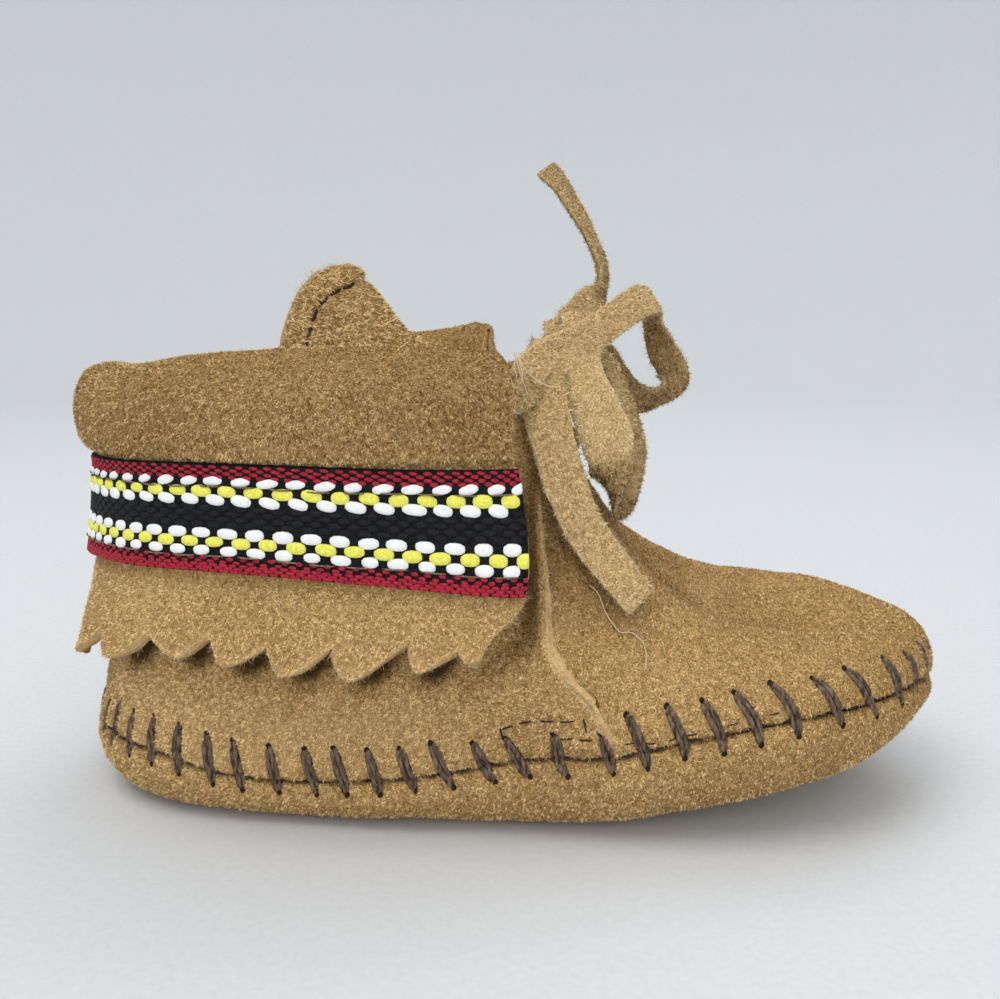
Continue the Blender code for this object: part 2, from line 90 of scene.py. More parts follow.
CREST_ROW = 11.0         # row of SECTIONS from which the edge is the crest of the vamp

# Sole: a dish whose edge turns up to the seam
SOLE_TUCK = (            # x, inset of the sole's flat
    (-59.4, 7.5),
    (-31.0, 7.5),
    (-6.0, 8.5),
    (9.0, 11.0),
    (24.0, 13.0),
    (62.2, 12.0),
)
SPRING_START = 14.0      # in front of this x the sole rises to the toe
SPRING_END = 62.2
SPRING_HEIGHT = 11.5
SPRING_POWER = 1.3
SOLE_SWELL = 1.2

# Cuff: rows round the fold, from its inner leg over the roll and down the outside to the hem.
# off: how far the cuff's outer face lies outside the upper's skin, at the back and elsewhere.
# z: its height at the back, the side and the front. x_front: where its front edge is.
CUFF_COLUMNS = ("off_back", "off", "z_back", "z_side", "z_front", "x_front")
CUFF_SECTIONS = (
    (-3.20, -3.20, 50.6, 53.2, 53.4, -1.6),
    (-3.35, -3.35, 55.6, 58.6, 58.8, -0.8),
    (-2.60, -2.60, 58.6, 61.8, 61.9, -0.4),
    (0.20, 0.20, 59.8, 62.9, 62.9, -0.2),
    (3.60, 3.80, 58.4, 61.6, 61.6, 0.0),
    (6.30, 5.90, 55.0, 58.2, 58.0, 0.0),
    (6.50, 5.70, 52.0, 54.2, 53.8, 0.0),
    (4.90, 4.50, 49.7, 51.2, 50.6, 0.6),
    (2.90, 3.10, 48.0, 49.6, 49.0, 1.2),
    (2.70, 2.90, 43.4, 45.0, 44.2, 2.8),
    (2.70, 2.90, 38.4, 40.2, 39.2, 3.5),
    (2.80, 3.00, 33.4, 35.4, 34.2, 3.5),
    (3.10, 3.30, 29.6, 32.4, 31.6, 2.2),
    (3.50, 3.60, 26.4, 29.4, 29.4, 0.0),
    (4.00, 3.90, 20.2, 23.8, 24.4, -3.4),
)
CUFF_BACK = 0.35         # share of the way round by which off takes over from off_back
CUFF_SIDE = 0.5          # share of the way round at which z_side holds
CUFF_LAST = len(CUFF_SECTIONS) - 1.0
FLAP_ROW = 11.0          # row of CUFF_SECTIONS under which the flap is drawn to the hem
BAND_ROWS = (8, 11)      # rows of CUFF_SECTIONS that the woven band covers
BAND_END_INSET = 0.006   # share of the cuff's length by which the band stops short

# Tongue: x and z of its crease, half its width, the fold of its sides, their dip and the crease's radius
TONGUE_COLUMNS = ("x", "z", "half", "fold", "dip", "radius")
TONGUE_SECTIONS = (
    (8.1, 47.6, 9.8, 42.0, 24.0, 9.0),
    (6.0, 52.4, 11.8, 44.0, 30.0, 8.0),
    (3.0, 56.6, 14.0, 47.0, 46.0, 7.0),
    (-1.8, 59.8, 17.0, 51.0, 62.0, 6.0),
    (-7.8, 61.6, 19.6, 54.0, 64.0, 5.0),
    (-12.6, 64.6, 20.2, 56.0, 52.0, 4.5),
    (-15.9, 68.4, 17.4, 57.0, 32.0, 4.0),
    (-18.3, 71.4, 13.0, 58.0, 18.0, 4.0),
    (-19.9, 72.9, 9.6, 58.0, 12.0, 4.0),
    (-21.1, 73.7, 5.8, 58.0, 8.0, 4.0),
    (-21.9, 74.1, 1.8, 58.0, 5.0, 4.0),
)

# Thong: a flat lace, with the middle line of each of its stretches
BAND_ROUTE = (           # from inside the fold on one side to the middle
    (-7.7, -25.7, 56.3),
    (-3.7, -25.1, 56.4),
    (-0.1, -23.6, 56.9),
    (2.8, -21.9, 57.6),
    (4.9, -18.4, 58.8),
    (5.7, -13.0, 60.2),
    (6.0, -7.0, 61.6),
    (6.0, 0.0, 62.2),
)
NEAR_END_ROUTE = (
    (8.7, -10.7, 62.8),
    (8.0, -13.8, 60.9),
    (7.7, -17.9, 57.4),
    (8.1, -20.4, 52.9),
    (9.0, -21.2, 48.2),
    (10.2, -21.4, 44.3),
    (11.7, -21.6, 40.8),
    (13.5, -22.2, 38.0),
    (16.1, -23.3, 34.7),
    (18.7, -23.9, 31.8),
)
NEAR_LOOP_ROUTE = (
    (11.3, -11.0, 64.2),
    (11.7, -13.4, 60.6),
    (13.0, -16.2, 55.6),
    (14.6, -17.9, 50.8),
    (15.3, -17.8, 46.4),
    (16.1, -15.5, 42.6),
    (17.8, -13.1, 43.2),
    (18.9, -11.8, 46.8),
    (19.3, -10.8, 50.0),
    (18.6, -9.6, 53.2),
    (17.0, -7.8, 57.4),
    (15.4, -6.8, 60.6),
    (14.0, -6.4, 62.4),
)
FAR_LOOP_ROUTE = (
    (13.7, -3.6, 64.9),
    (16.4, -1.2, 66.9),
    (20.0, 2.4, 69.0),
    (22.2, 6.4, 69.0),
    (22.8, 10.2, 66.0),
    (24.4, 12.6, 61.6),
    (26.2, 13.0, 58.2),
    (25.2, 11.2, 55.6),
    (22.2, 9.0, 54.2),
    (19.2, 7.0, 55.2),
    (17.2, 5.0, 58.4),
    (15.2, 3.0, 61.2),
    (12.4, 1.0, 62.8),
)
FAR_END_ROUTE = (
    (9.8, 0.6, 65.2),
    (11.6, 3.2, 67.4),
    (14.2, 6.4, 69.9),
    (15.0, 8.0, 73.4),
    (13.0, 9.0, 78.6),
    (10.5, 10.0, 83.0),
    (8.4, 11.0, 86.2),
    (6.4, 11.4, 88.3),
)


def spline(rows, at):
    """A row of the table at a fractional row number, on a Catmull-Rom curve through the rows."""
    rows = np.asarray(rows, float)
    at = min(max(at, 0.0), len(rows) - 1.0)
    i = min(int(at), len(rows) - 2)
    t = at - i
    p1, p2 = rows[i], rows[i + 1]
    p0 = rows[i - 1] if i > 0 else 2 * p1 - p2
    p3 = rows[i + 2] if i + 2 < len(rows) else 2 * p2 - p1
    return 0.5 * (2 * p1 + (p2 - p0) * t + (2 * p0 - 5 * p1 + 4 * p2 - p3) * t * t
                  + (3 * p1 - p0 - 3 * p2 + p3) * t ** 3)


def lengths(line):
    """Length along a line of points up to each of them."""
    return np.concatenate([[0.0], np.cumsum(np.linalg.norm(np.diff(line, axis=0), axis=1))])


def read_table(table, at):
    """A table's other columns, read between its rows where its first column is at."""
    first, *others = np.array(table, float).T
    return [np.interp(at, first, column) for column in others]


def bezier(p0, p1, p2, p3, t):
    s = 1.0 - t
    return s ** 3 * p0 + 3 * s * s * t * p1 + 3 * s * t * t * p2 + t ** 3 * p3


def mirrored_sections():
    """The sections with one more row past each end, mirrored in Y, so that both ends run square to it."""
    flip = np.array([-1.0 if name in ("seam_y", "edge_y") else 1.0 for name in SECTION_COLUMNS])
    rows = np.array(SECTIONS)
    return np.vstack([rows[1] * flip, rows, rows[-2] * flip])


ALL_ROWS = mirrored_sections()


def section(u):
    """The section at row u, as a dictionary of its columns."""
    return dict(zip(SECTION_COLUMNS, spline(ALL_ROWS, u + 1.0)))


def outward(u):
    """The level direction square to the seam line at row u."""
    step = 0.01
    a, b = section(max(u - step, -0.9)), section(min(u + step, LAST_ROW + 0.9))
    along = np.array([b["seam_x"] - a["seam_x"], b["seam_y"] - a["seam_y"]])
    along /= np.linalg.norm(along)
    return np.array([-along[1], along[0], 0.0])


def skin(u, v):
    """The upper's outer skin: row u, and v from 0 at the seam to 1 at the edge."""
    row = section(u)
    out = outward(u)
    seam = np.array([row["seam_x"], row["seam_y"], row["seam_z"]])
    edge = np.array([row["edge_x"], row["edge_y"], row["edge_z"]])
    leave = seam + out * row["bulge"] + np.array([row["lean"], 0.0, row["rise"]])
    arrive = edge + out * row["reach"] + np.array([0.0, 0.0, row["crown"]])
    return bezier(seam, leave, arrive, edge, v)


def skin_normal(u, v):
    """The way out of the upper's skin."""
    step = 0.01
    along = skin(min(u + step, LAST_ROW + 0.5), v) - skin(max(u - step, -0.5), v)
    up = skin(u, min(v + step, 1.0)) - skin(u, max(v - step, 0.0))
    normal = np.cross(up, along)
    return normal / np.linalg.norm(normal)


def lap(u):
    """How far the quarter stands proud of the skin: nothing at the side, a full step at its front edge."""
    if u < LAP_START or u > LAP_ROW:
        return 0.0
    share = (u - LAP_START) / (LAP_ROW - LAP_START)
    return LAP_STEP * share * share * (3.0 - 2.0 * share)


def spring(x):
    """Height of the sole's underside."""
    if x < SPRING_START:
        return 0.0
    return SPRING_HEIGHT * ((x - SPRING_START) / (SPRING_END - SPRING_START)) ** SPRING_POWER


def tuck(x):
    """Inset of the sole's flat from the seam."""
    return float(read_table(SOLE_TUCK, x)[0])


def flat_edge(u, inset):
    """Where the sole's flat begins at row u."""
    row = section(u)
    point = np.array([row["seam_x"], row["seam_y"], 0.0]) - outward(u) * inset
    point[1] = max(point[1], 0.0)
    point[2] = spring(point[0])
    return point


def middle_of_flat(u, inset):
    """The point of the sole's middle line that row u runs to."""
    heel, toe = flat_edge(0.0, inset)[0], flat_edge(LAST_ROW, inset)[0]
    share = u / LAST_ROW
    x = heel + 8.0 + (toe - heel - 16.0) * share
    return np.array([x, 0.0, spring(x)])


RIB_TABLE = [np.array([skin(u, v) for v in np.linspace(0.0, 1.0, 41)])
             for u in np.linspace(0.0, LAP_ROW, 33)]


def level_line(z, x_front):
    """The skin's level section at height z, from the back's middle to x_front: 0..1 along its length."""
    line = np.array([[np.interp(z, rib[:, 2], rib[:, 0]), np.interp(z, rib[:, 2], rib[:, 1])]
                     for rib in RIB_TABLE])
    ahead = np.nonzero(line[:, 0] > x_front)[0]
    if len(ahead):
        k = ahead[0]
        share = (x_front - line[k - 1, 0]) / (line[k, 0] - line[k - 1, 0])
        line = np.vstack([line[:k], line[k - 1] + (line[k] - line[k - 1]) * share])
    return line


def along_line(line, a):
    """Point and outward direction at share a of the line's length."""
    run = lengths(line)

    def at(share):
        s = share * run[-1]
        return np.array([np.interp(s, run, line[:, 0]), np.interp(s, run, line[:, 1])])

    near, far = at(max(a - 0.03, 0.0)), at(min(a + 0.03, 1.0))
    if a < 0.03:
        near = at(0.03 - a) * np.array([1.0, -1.0])
    tangent = (far - near) / np.linalg.norm(far - near)
    return at(a), np.array([-tangent[1], tangent[0]])


def blend(low, high, share):
    """From low to high with level ends."""
    share = min(max(share, 0.0), 1.0)
    return low + (high - low) * 0.5 * (1.0 - math.cos(math.pi * share))


def cuff_point(a, s, extra=0.0):
    """Share a of the way round from the back to the front edge, row s of the cuff's section."""
    row = dict(zip(CUFF_COLUMNS, spline(CUFF_SECTIONS, s)))
    if a < CUFF_SIDE:
        z = blend(row["z_back"], row["z_side"], a / CUFF_SIDE)
    else:
        z = blend(row["z_side"], row["z_front"], (a - CUFF_SIDE) / (1.0 - CUFF_SIDE))
    place, out = along_line(level_line(z, row["x_front"]), a)
    off = blend(row["off_back"], row["off"], a / CUFF_BACK) + extra
    return np.array([place[0] + out[0] * off, place[1] + out[1] * off, z])


def tongue_point(s, share):
    """Row s of the tongue, share 0 on its crease to 1 at its side edge."""
    row = dict(zip(TONGUE_COLUMNS, spline(TONGUE_SECTIONS, s)))
    dip, fold = math.radians(row["dip"]), math.radians(row["fold"])
    run = share * row["half"]
    turn = min(run / row["radius"], fold)
    straight = run - turn * row["radius"]
    side = row["radius"] * math.sin(turn) + straight * math.cos(turn)
    deep = row["radius"] * (1.0 - math.cos(turn)) + straight * math.sin(turn)
    return np.array([row["x"] - deep * math.cos(dip), side, row["z"] - deep * math.sin(dip)])


def smooth_route(points, spacing):
    """Points about one spacing apart on a smooth curve through the route's own points."""
    dense = np.array([spline(points, at) for at in np.linspace(0.0, len(points) - 1.0, 40 * len(points))])
    run = lengths(dense)
    count = max(int(round(run[-1] / spacing)), 3)
    stops = np.linspace(0.0, run[-1], count + 1)
    return np.array([[np.interp(stop, run, dense[:, k]) for k in range(3)] for stop in stops])


# ================================================================ the dressing's own numbers, in millimetres

CAMERA_PLACE = (5.87, -165.1, 71.8)
CAMERA_TURN = (79.3, 0.0, 2.0)          # degrees
CAMERA_LENS = 41.4
LIGHTS = (                              # name, place in metres, width in metres, power and colour
    ("key", (-0.26, -0.26, 0.74), 0.55, 2.1, (1.0, 0.99, 0.97)),
    ("back", (0.20, 0.45, 0.75), 0.6, 1.2, (0.97, 0.985, 1.0)),
    ("front", (0.10, -0.65, 0.25), 0.7, 1.8, (1.0, 0.99, 0.98)),
)
LIGHT_AIM = (0.0, 0.0, 0.03)            # metres
FLOOR_FLAT = 0.6                        # radius of the flat floor in metres
FLOOR_BEND = 0.4                        # radius of its bend up into the wall
WORLD_COLOUR = (0.94, 0.97, 1.0)
WORLD_STRENGTH = 1.03

THONG_THICK = 1.25
FIBRE_SHADE = 0.3                       # tone of an unshaded fibre at its darkest
TUFT = 0.55                             # mm across a tuft of nap
NAP_DENSITY = 18.0                      # fibres on a square millimetre
NAP_GONE = -0.85                        # painted shade under which no fibre stands
LAP_SWAY = (                            # place up the rib, rows by which the quarter's front edge is ahead
    (0.0, 0.0), (0.04, 0.2), (0.09, 0.48), (0.16, 0.60), (0.22, 0.56), (0.30, 0.32), (0.38, 0.26),
    (0.5, 0.48), (0.63, 0.68), (0.8, 0.84), (1.0, 0.9),
)
SEAM_STEP = 0.5                         # columns of upper and sole along the seam
WHIP_PITCH = 4.7
WHIP_POINTS = 13
WHIP_PLY = 0.40                         # radius of each of a stitch's two plies
WHIP_HOLE = 0.52
WHIP_NEAR = (                           # x of the near side's whip stitches, at the sole
    -53.8, -50.6, -46.8, -42.5, -37.6, -33.5, -28.5, -23.3, -19.2, -14.7, -10.0, -5.0, 0.4,
    4.9, 9.7, 15.4, 19.7, 24.3, 29.2, 33.8, 38.7, 44.7, 49.8, 54.3, 57.9,
)
WHIP_SHAPE = (                          # x, reach under the seam, reach over it, how far the top leans
    (-60.0, 2.0, 4.8, 1.6),
    (-46.0, 2.0, 4.8, 0.8),
    (-38.0, 1.9, 5.0, 0.0),
    (-28.0, 1.7, 5.1, -1.2),
    (-10.0, 1.8, 4.6, -2.0),
    (2.0, 2.2, 4.2, -2.6),
    (12.0, 2.0, 4.6, -2.4),
    (20.0, 2.0, 4.7, -2.6),
    (35.0, 2.0, 5.6, -3.0),
    (50.0, 1.7, 6.0, -3.2),
    (62.2, 1.6, 5.2, -2.0),
)

# Hem of the cuff on the near side: x and z of its tips and notches, from the back to the front edge
HEM_NEAR = (
    (-61.5, 18.6), (-52.8, 26.6), (-50.3, 23.5), (-44.8, 28.1), (-40.2, 25.4), (-36.9, 29.0),
    (-33.3, 25.1), (-29.3, 27.5), (-25.9, 23.8), (-21.3, 27.8), (-17.4, 23.4), (-12.6, 28.9),
    (-9.3, 24.7), (-5.3, 27.8), (-2.3, 26.1),
)


# ================================================================ pieces and patches

class Patch:
    """One face of leather: a grid of points by column and row, in millimetres, that can be read between."""

    def __init__(self, grid, flip=1.0):
        self.grid = np.asarray(grid, float)
        self.flip = flip
        self.settle()

    def settle(self):
        """Works the normals out again after the grid has changed."""
        normal = np.cross(np.gradient(self.grid, axis=1), np.gradient(self.grid, axis=0)) * self.flip
        size = np.linalg.norm(normal, axis=2, keepdims=True)
        self.normal = normal / np.maximum(size, 1e-9)

    def push(self, depth):
        """Moves every point along its normal by its own depth."""
        self.grid = self.grid + self.normal * depth[..., None]
        self.settle()

    def value(self, field, p, q):
        """A field kept for each point, read at columns p and rows q."""
        p = np.clip(np.asarray(p, float), 0.0, self.grid.shape[0] - 1.0001)
        q = np.clip(np.asarray(q, float), 0.0, self.grid.shape[1] - 1.0001)
        i, j = p.astype(int), q.astype(int)
        s, t = p - i, q - j
        if field.ndim > 2:
            s, t = s[..., None], t[..., None]
        low = field[i, j] * (1 - s) + field[i + 1, j] * s
        high = field[i, j + 1] * (1 - s) + field[i + 1, j + 1] * s
        return low * (1 - t) + high * t

    def place(self, p, q):
        return self.value(self.grid, p, q)

    def read(self, p, q):
        """Places and normals at columns p and rows q."""
        normal = self.value(self.normal, p, q)
        return self.place(p, q), normal / np.linalg.norm(normal, axis=-1, keepdims=True)

    def find(self, x, z, side=-1.0, other=2):
        """Column and row of the point of one side that has this x, and this z (or y, with other=1)."""
        away = (self.grid[..., 0] - x) ** 2 + (self.grid[..., other] - z) ** 2
        away = away + 1e6 * (self.grid[..., 1] * side < -0.3)
        i, j = np.unravel_index(np.argmin(away), away.shape)
        p, q = np.meshgrid(np.linspace(i - 1, i + 1, 25), np.linspace(j - 1, j + 1, 25), indexing="ij")
        place = self.place(p, q)
        away = (place[..., 0] - x) ** 2 + (place[..., other] - z) ** 2
        k = np.unravel_index(np.argmin(away), away.shape)
        return float(p[k]), float(q[k])

    def line(self, points, step=0.4, side=-1.0, other=2):
        """Columns and rows of a smooth line through places given as find() takes them, every step mm."""
        ends = np.array([self.find(a, b, side, other) for a, b in points])
        dense = np.array([spline(ends, at) for at in np.linspace(0.0, len(ends) - 1.0, 30 * len(ends))])
        place = self.place(dense[:, 0], dense[:, 1])
        run = lengths(place)
        stops = np.linspace(0.0, run[-1], max(int(run[-1] / step), 2) + 1)
        return np.interp(stops, run, dense[:, 0]), np.interp(stops, run, dense[:, 1])


def new_piece(name, points, faces, finish_used, slot, nodes=(), **values):
    """A mesh piece from points in millimetres. values are numbers kept on its points."""
    mesh = bpy.data.meshes.new(name)
    mesh.from_pydata((np.asarray(points) * MM).tolist(), [], [list(map(int, face)) for face in faces])
    for label, numbers in values.items():
        store = mesh.attributes.new(label, "FLOAT", "POINT")
        store.data.foreach_set("value", np.asarray(numbers, np.float32).ravel())
    mesh.polygons.foreach_set("use_smooth", np.full(len(mesh.polygons), True))
    mesh.materials.append(finish_used)
    obj = bpy.data.objects.new(name, mesh)
    bpy.context.scene.collection.objects.link(obj)
    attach(obj, "root")
    if nodes:
        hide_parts(*nodes)
    return obj


def grid_faces(columns, rows, turned=False):
    """Quads of a grid of points kept column by column."""
    corner = np.arange(columns * rows).reshape(columns, rows)
    a, b, c, d = corner[:-1, :-1], corner[:-1, 1:], corner[1:, 1:], corner[1:, :-1]
    quads = np.stack([a, b, c, d], axis=-1).reshape(-1, 4)
    return quads[:, ::-1] if turned else quads


def leather(name, patch, wall, finish_used, slot, nodes, wear):
    """A patch as a wall of leather, welded where its two sides meet and thickened inwards."""
    columns, rows = patch.grid.shape[:2]
    obj = new_piece(name, patch.grid.reshape(-1, 3), grid_faces(columns, rows, patch.flip < 0),
                    finish_used, slot, nodes, wear=wear)
    weld = obj.modifiers.new("weld", "WELD")
    weld.merge_threshold = 0.00002
    solid = obj.modifiers.new("wall", "SOLIDIFY")
    solid.thickness = wall * MM
    solid.offset = -1.0
    solid.use_even_offset = False
    apply_modifiers(obj)
    return obj


def apply_modifiers(obj):
    """Bakes the piece's modifiers into its mesh."""
    graph = bpy.context.evaluated_depsgraph_get()
    mesh = bpy.data.meshes.new_from_object(obj.evaluated_get(graph))
    obj.modifiers.clear()
    obj.data = mesh


def unit(vectors):
    return vectors / np.maximum(np.linalg.norm(vectors, axis=-1, keepdims=True), 1e-9)


def tubes(lines, radius, sides=6):
    """Points and faces of round threads, each along its own line of points, with tapered ends."""
    points, faces, start = [], [], 0
    for line in lines:
        line = np.asarray(line, float)
        along = unit(np.gradient(line, axis=0))
        across = unit(np.cross(along, np.array([0.13, 0.21, 0.97])))
        other = np.cross(along, across)
        reach = np.full(len(line), float(radius))
        reach[[0, -1]] *= 0.55
        for k in range(sides):
            turn = 2.0 * math.pi * k / sides
            ring = across * math.cos(turn) + other * math.sin(turn)
            points.append(line + ring * reach[:, None])
        count = len(line)
        for k in range(sides):
            a, b = start + k * count, start + (k + 1) % sides * count
            faces += [(a + i, b + i, b + i + 1, a + i + 1) for i in range(count - 1)]
        faces.append([start + k * count for k in range(sides)][::-1])
        faces.append([start + k * count + count - 1 for k in range(sides)])
        start += count * sides
    return np.vstack(points), faces


def noise_at(places, size, seed=0.0):
    """Smooth noise from -1 to 1 at places, with lumps of the given size in millimetres."""
    flat = np.asarray(places, float).reshape(-1, 3) / size
    values = [noise.noise(Vector((a + seed, b - seed, c + 2.0 * seed))) for a, b, c in flat]
    return np.array(values).reshape(np.asarray(places).shape[:-1])


def scatter(patch, per_mm2, keep, seed):
    """Columns and rows spread evenly over a patch's area. keep(places, p, q) gives each one's chance."""
    dice = np.random.default_rng(seed)
    grid = patch.grid
    area = np.linalg.norm(np.cross(grid[1:, :-1] - grid[:-1, :-1], grid[:-1, 1:] - grid[:-1, :-1]), axis=2)
    cell = np.repeat(np.arange(area.size), dice.poisson(area.ravel() * per_mm2))
    p = cell // area.shape[1] + dice.random(len(cell))
    q = cell % area.shape[1] + dice.random(len(cell))
    places = patch.place(p, q)
    stay = dice.random(len(cell)) < keep(places, p, q)
    return p[stay], q[stay]


def nap(name, patch, p, q, comb, finish_used, slot, seed, length=0.42, width=0.15, lift=0.45, stray=1.0,
        wear=None):
    """Short fibres of suede at columns p and rows q, each a slim blade combed roughly one way."""
    dice = np.random.default_rng(seed)
    root, normal = patch.read(p, q)
    way = np.asarray(comb(root), float)
    way = unit(way - normal * np.sum(way * normal, axis=1, keepdims=True))
    turn = dice.normal(0.0, stray, len(root))[:, None]
    way = way * np.cos(turn) + np.cross(normal, way) * np.sin(turn)
    long = length * dice.uniform(0.6, 1.35, len(root))[:, None]
    tuft = noise_at(root, TUFT, 3.0)
    rise = np.clip(dice.normal(lift, 0.2, len(root)) + 0.7 * tuft, 0.05, 1.3)[:, None]
    tip = root + (way * np.cos(rise) + normal * np.sin(rise)) * long
    side = np.cross(normal, way) * width * 0.5 * dice.uniform(0.7, 1.3, len(root))[:, None]
    root = root - normal * 0.03
    points = np.stack([root - side, root + side, tip], axis=1).reshape(-1, 3)
    shade = 0.5 + 0.7 * (dice.random(len(root)) - 0.5) + 1.2 * tuft
    shade = FIBRE_SHADE + (1.0 - FIBRE_SHADE) * np.clip(shade, 0.0, 1.0)
    # Each fibre takes on the painted shade and pale wear of its place
    if wear is not None:
        shade = np.clip(shade + 0.8 * patch.value(wear, p, q), 0.0, 1.0)
    return new_piece(name, points, np.arange(len(points)).reshape(-1, 3), finish_used, slot,
                     tone=np.repeat(shade, 3))


def hairs(name, roots, ways, finish_used, slot, seed, length, width=0.06, curl=0.5):
    """Loose pale fibres at cut edges: slim curled ribbons of three stretches."""
    dice = np.random.default_rng(seed)
    count = len(roots)
    way = unit(np.asarray(ways, float) + dice.normal(0.0, 0.45, (count, 3)))
    bend = dice.normal(0.0, curl, (count, 3))
    long = (length * dice.uniform(0.35, 1.5, count))[:, None]
    side = unit(np.cross(way, dice.normal(0.0, 1.0, (count, 3)))) * width * 0.5
    points = []
    for share in (0.0, 0.35, 0.7, 1.0):
        middle = roots + way * long * share + bend * long * share * share
        thin = side * (1.0 - 0.7 * share)
        points += [middle - thin, middle + thin]
    points = np.stack(points, axis=1).reshape(-1, 3)
    faces = [(8 * k + a, 8 * k + a + 1, 8 * k + a + 3, 8 * k + a + 2)
             for k in range(count) for a in (0, 2, 4)]
    tone = FIBRE_SHADE + (1.0 - FIBRE_SHADE) * dice.random(count)
    return new_piece(name, points, faces, finish_used, slot, tone=np.repeat(tone, 8))


def coat(name, patch, keep, comb, slot, seed, density=NAP_DENSITY, **looks):
    """Suede's nap over a whole patch. keep is as in scatter()."""
    p, q = scatter(patch, density, keep, seed)
    nap(name, patch, p, q, comb, SUEDE_FIBRE, slot, seed + 1, **looks)


def edge_hairs(name, patch, p, q, deep, way, out, dice, seed, length, width=0.06):
    """Loose fibres over the thickness of a patch's cut edge, all one way and a little outwards."""
    place, normal = patch.read(p, q)
    place = place - normal * dice.random(len(place))[:, None] * deep
    hairs(name, place, np.array(way) + out * normal, PALE_FIBRE, "suede", seed, length, width)


# ================================================================ finishes

def finish(name, base, roughness, sheen=0.0, sheen_tint=(1.0, 1.0, 1.0), specular=0.3):
    """A new material, with its node tree and its shader."""
    mat = bpy.data.materials.new(name)
    mat.use_nodes = True
    tree = mat.node_tree
    shader = tree.nodes["Principled BSDF"]
    shader.inputs["Base Color"].default_value = (*base, 1.0)
    shader.inputs["Roughness"].default_value = roughness
    shader.inputs["Sheen Weight"].default_value = sheen
    shader.inputs["Sheen Roughness"].default_value = 0.5
    shader.inputs["Sheen Tint"].default_value = (*sheen_tint, 1.0)
    shader.inputs["Specular IOR Level"].default_value = specular
    return mat, tree, shader


def add(tree, kind, **settings):
    node = tree.nodes.new(kind)
    for label, value in settings.items():
        if hasattr(node, label):
            setattr(node, label, value)
        else:
            node.inputs[label.replace("_", " ")].default_value = value
    return node


def noise_node(tree, coords, scale, detail=2.0, distortion=0.0, roughness=0.55):
    node = add(tree, "ShaderNodeTexNoise", Scale=scale, Detail=detail, Distortion=distortion,
               Roughness=roughness)
    tree.links.new(coords, node.inputs["Vector"])
    return node.outputs["Fac"]


def ramp(tree, value, *stops):
    """A colour ramp. Each stop is a place and a colour."""
    node = tree.nodes.new("ShaderNodeValToRGB")
    while len(node.color_ramp.elements) < len(stops):
        node.color_ramp.elements.new(0.5)
    for element, (place, colour) in zip(node.color_ramp.elements, stops):
        element.position = place
        element.color = (*colour, 1.0)
    tree.links.new(value, node.inputs["Fac"])
    return node.outputs["Color"]


def colour_by(tree, shader, value, *stops):
    """Colours the shader by a value, through a ramp."""
    tree.links.new(ramp(tree, value, *stops), shader.inputs["Base Color"])


def object_coords(tree):
    return add(tree, "ShaderNodeTexCoord").outputs["Object"]


def mixed(tree, fac, a, b):
    """a and b mixed. Each is an output or a colour, and fac an output or a number."""
    node = add(tree, "ShaderNodeMix", data_type="RGBA")
    for socket, value in ((node.inputs[0], fac), (node.inputs[6], a), (node.inputs[7], b)):
        if isinstance(value, tuple):
            socket.default_value = (*value, 1.0)
        elif isinstance(value, float):
            socket.default_value = value
        else:
            tree.links.new(value, socket)
    return node.outputs[2]


def bump(tree, shader, height, strength, distance):
    node = add(tree, "ShaderNodeBump", Strength=strength, Distance=distance)
    tree.links.new(height, node.inputs["Height"])
    tree.links.new(node.outputs["Normal"], shader.inputs["Normal"])


def attribute(tree, name):
    node = add(tree, "ShaderNodeAttribute", attribute_name=name)
    return node.outputs["Fac"]


def clipped(tree, value, low, high):
    """0 below low and 1 above high."""
    node = add(tree, "ShaderNodeMapRange")
    node.inputs["From Min"].default_value = low
    node.inputs["From Max"].default_value = high
    tree.links.new(value, node.inputs["Value"])
    return node.outputs["Result"]


def suede_finish(name, dark, middle, light, grain=1900.0, depth=0.00032):
    """Split leather with a short nap: matted grain, cloudy patches, and pale wear and painted shade kept on
    the points.
    """
    mat, tree, shader = finish(name, middle, 0.96, 0.10, light, 0.08)
    coords = object_coords(tree)
    fibre = noise_node(tree, coords, grain, 3.0, 1.6, 0.6)
    cloud = noise_node(tree, coords, 85.0, 3.0, 0.4)
    speck = noise_node(tree, coords, 620.0, 2.0, 0.8)
    colour = ramp(tree, fibre, (0.34, dark), (0.52, middle), (0.68, light))
    colour = mixed(tree, clipped(tree, cloud, 0.35, 0.75), colour, mixed(tree, 0.22, colour, dark))
    colour = mixed(tree, clipped(tree, speck, 0.52, 0.8), colour, mixed(tree, 0.3, colour, light))
    wear = attribute(tree, "wear")
    pale = tuple(min(1.0, 1.35 * c + 0.05) for c in light)
    colour = mixed(tree, clipped(tree, wear, 0.0, 1.0), colour, pale)
    # Below 0 the colour sinks towards a deep brown: mostly painted shade, also the darker tone of the cuff's
    # roll and of the lace's back
    sink = add(tree, "ShaderNodeMath", operation="MULTIPLY")
    tree.links.new(wear, sink.inputs[0])
    sink.inputs[1].default_value = -1.0
    colour = mixed(tree, clipped(tree, sink.outputs[0], 0.0, 1.0), colour, tuple(0.25 * c for c in dark))
    tree.links.new(colour, shader.inputs["Base Color"])
    bump(tree, shader, fibre, 0.9, depth)
    return mat


def fibre_finish(name, dark, light):
    """Loose fibres: each has its own tone, and those in a shaded place are under FIBRE_SHADE."""
    mat, tree, shader = finish(name, light, 0.95, 0.05, light, 0.05)
    shaded = tuple(0.16 * c for c in dark)
    colour_by(tree, shader, attribute(tree, "tone"), (0.0, shaded), (FIBRE_SHADE, dark), (1.0, light))
    return mat


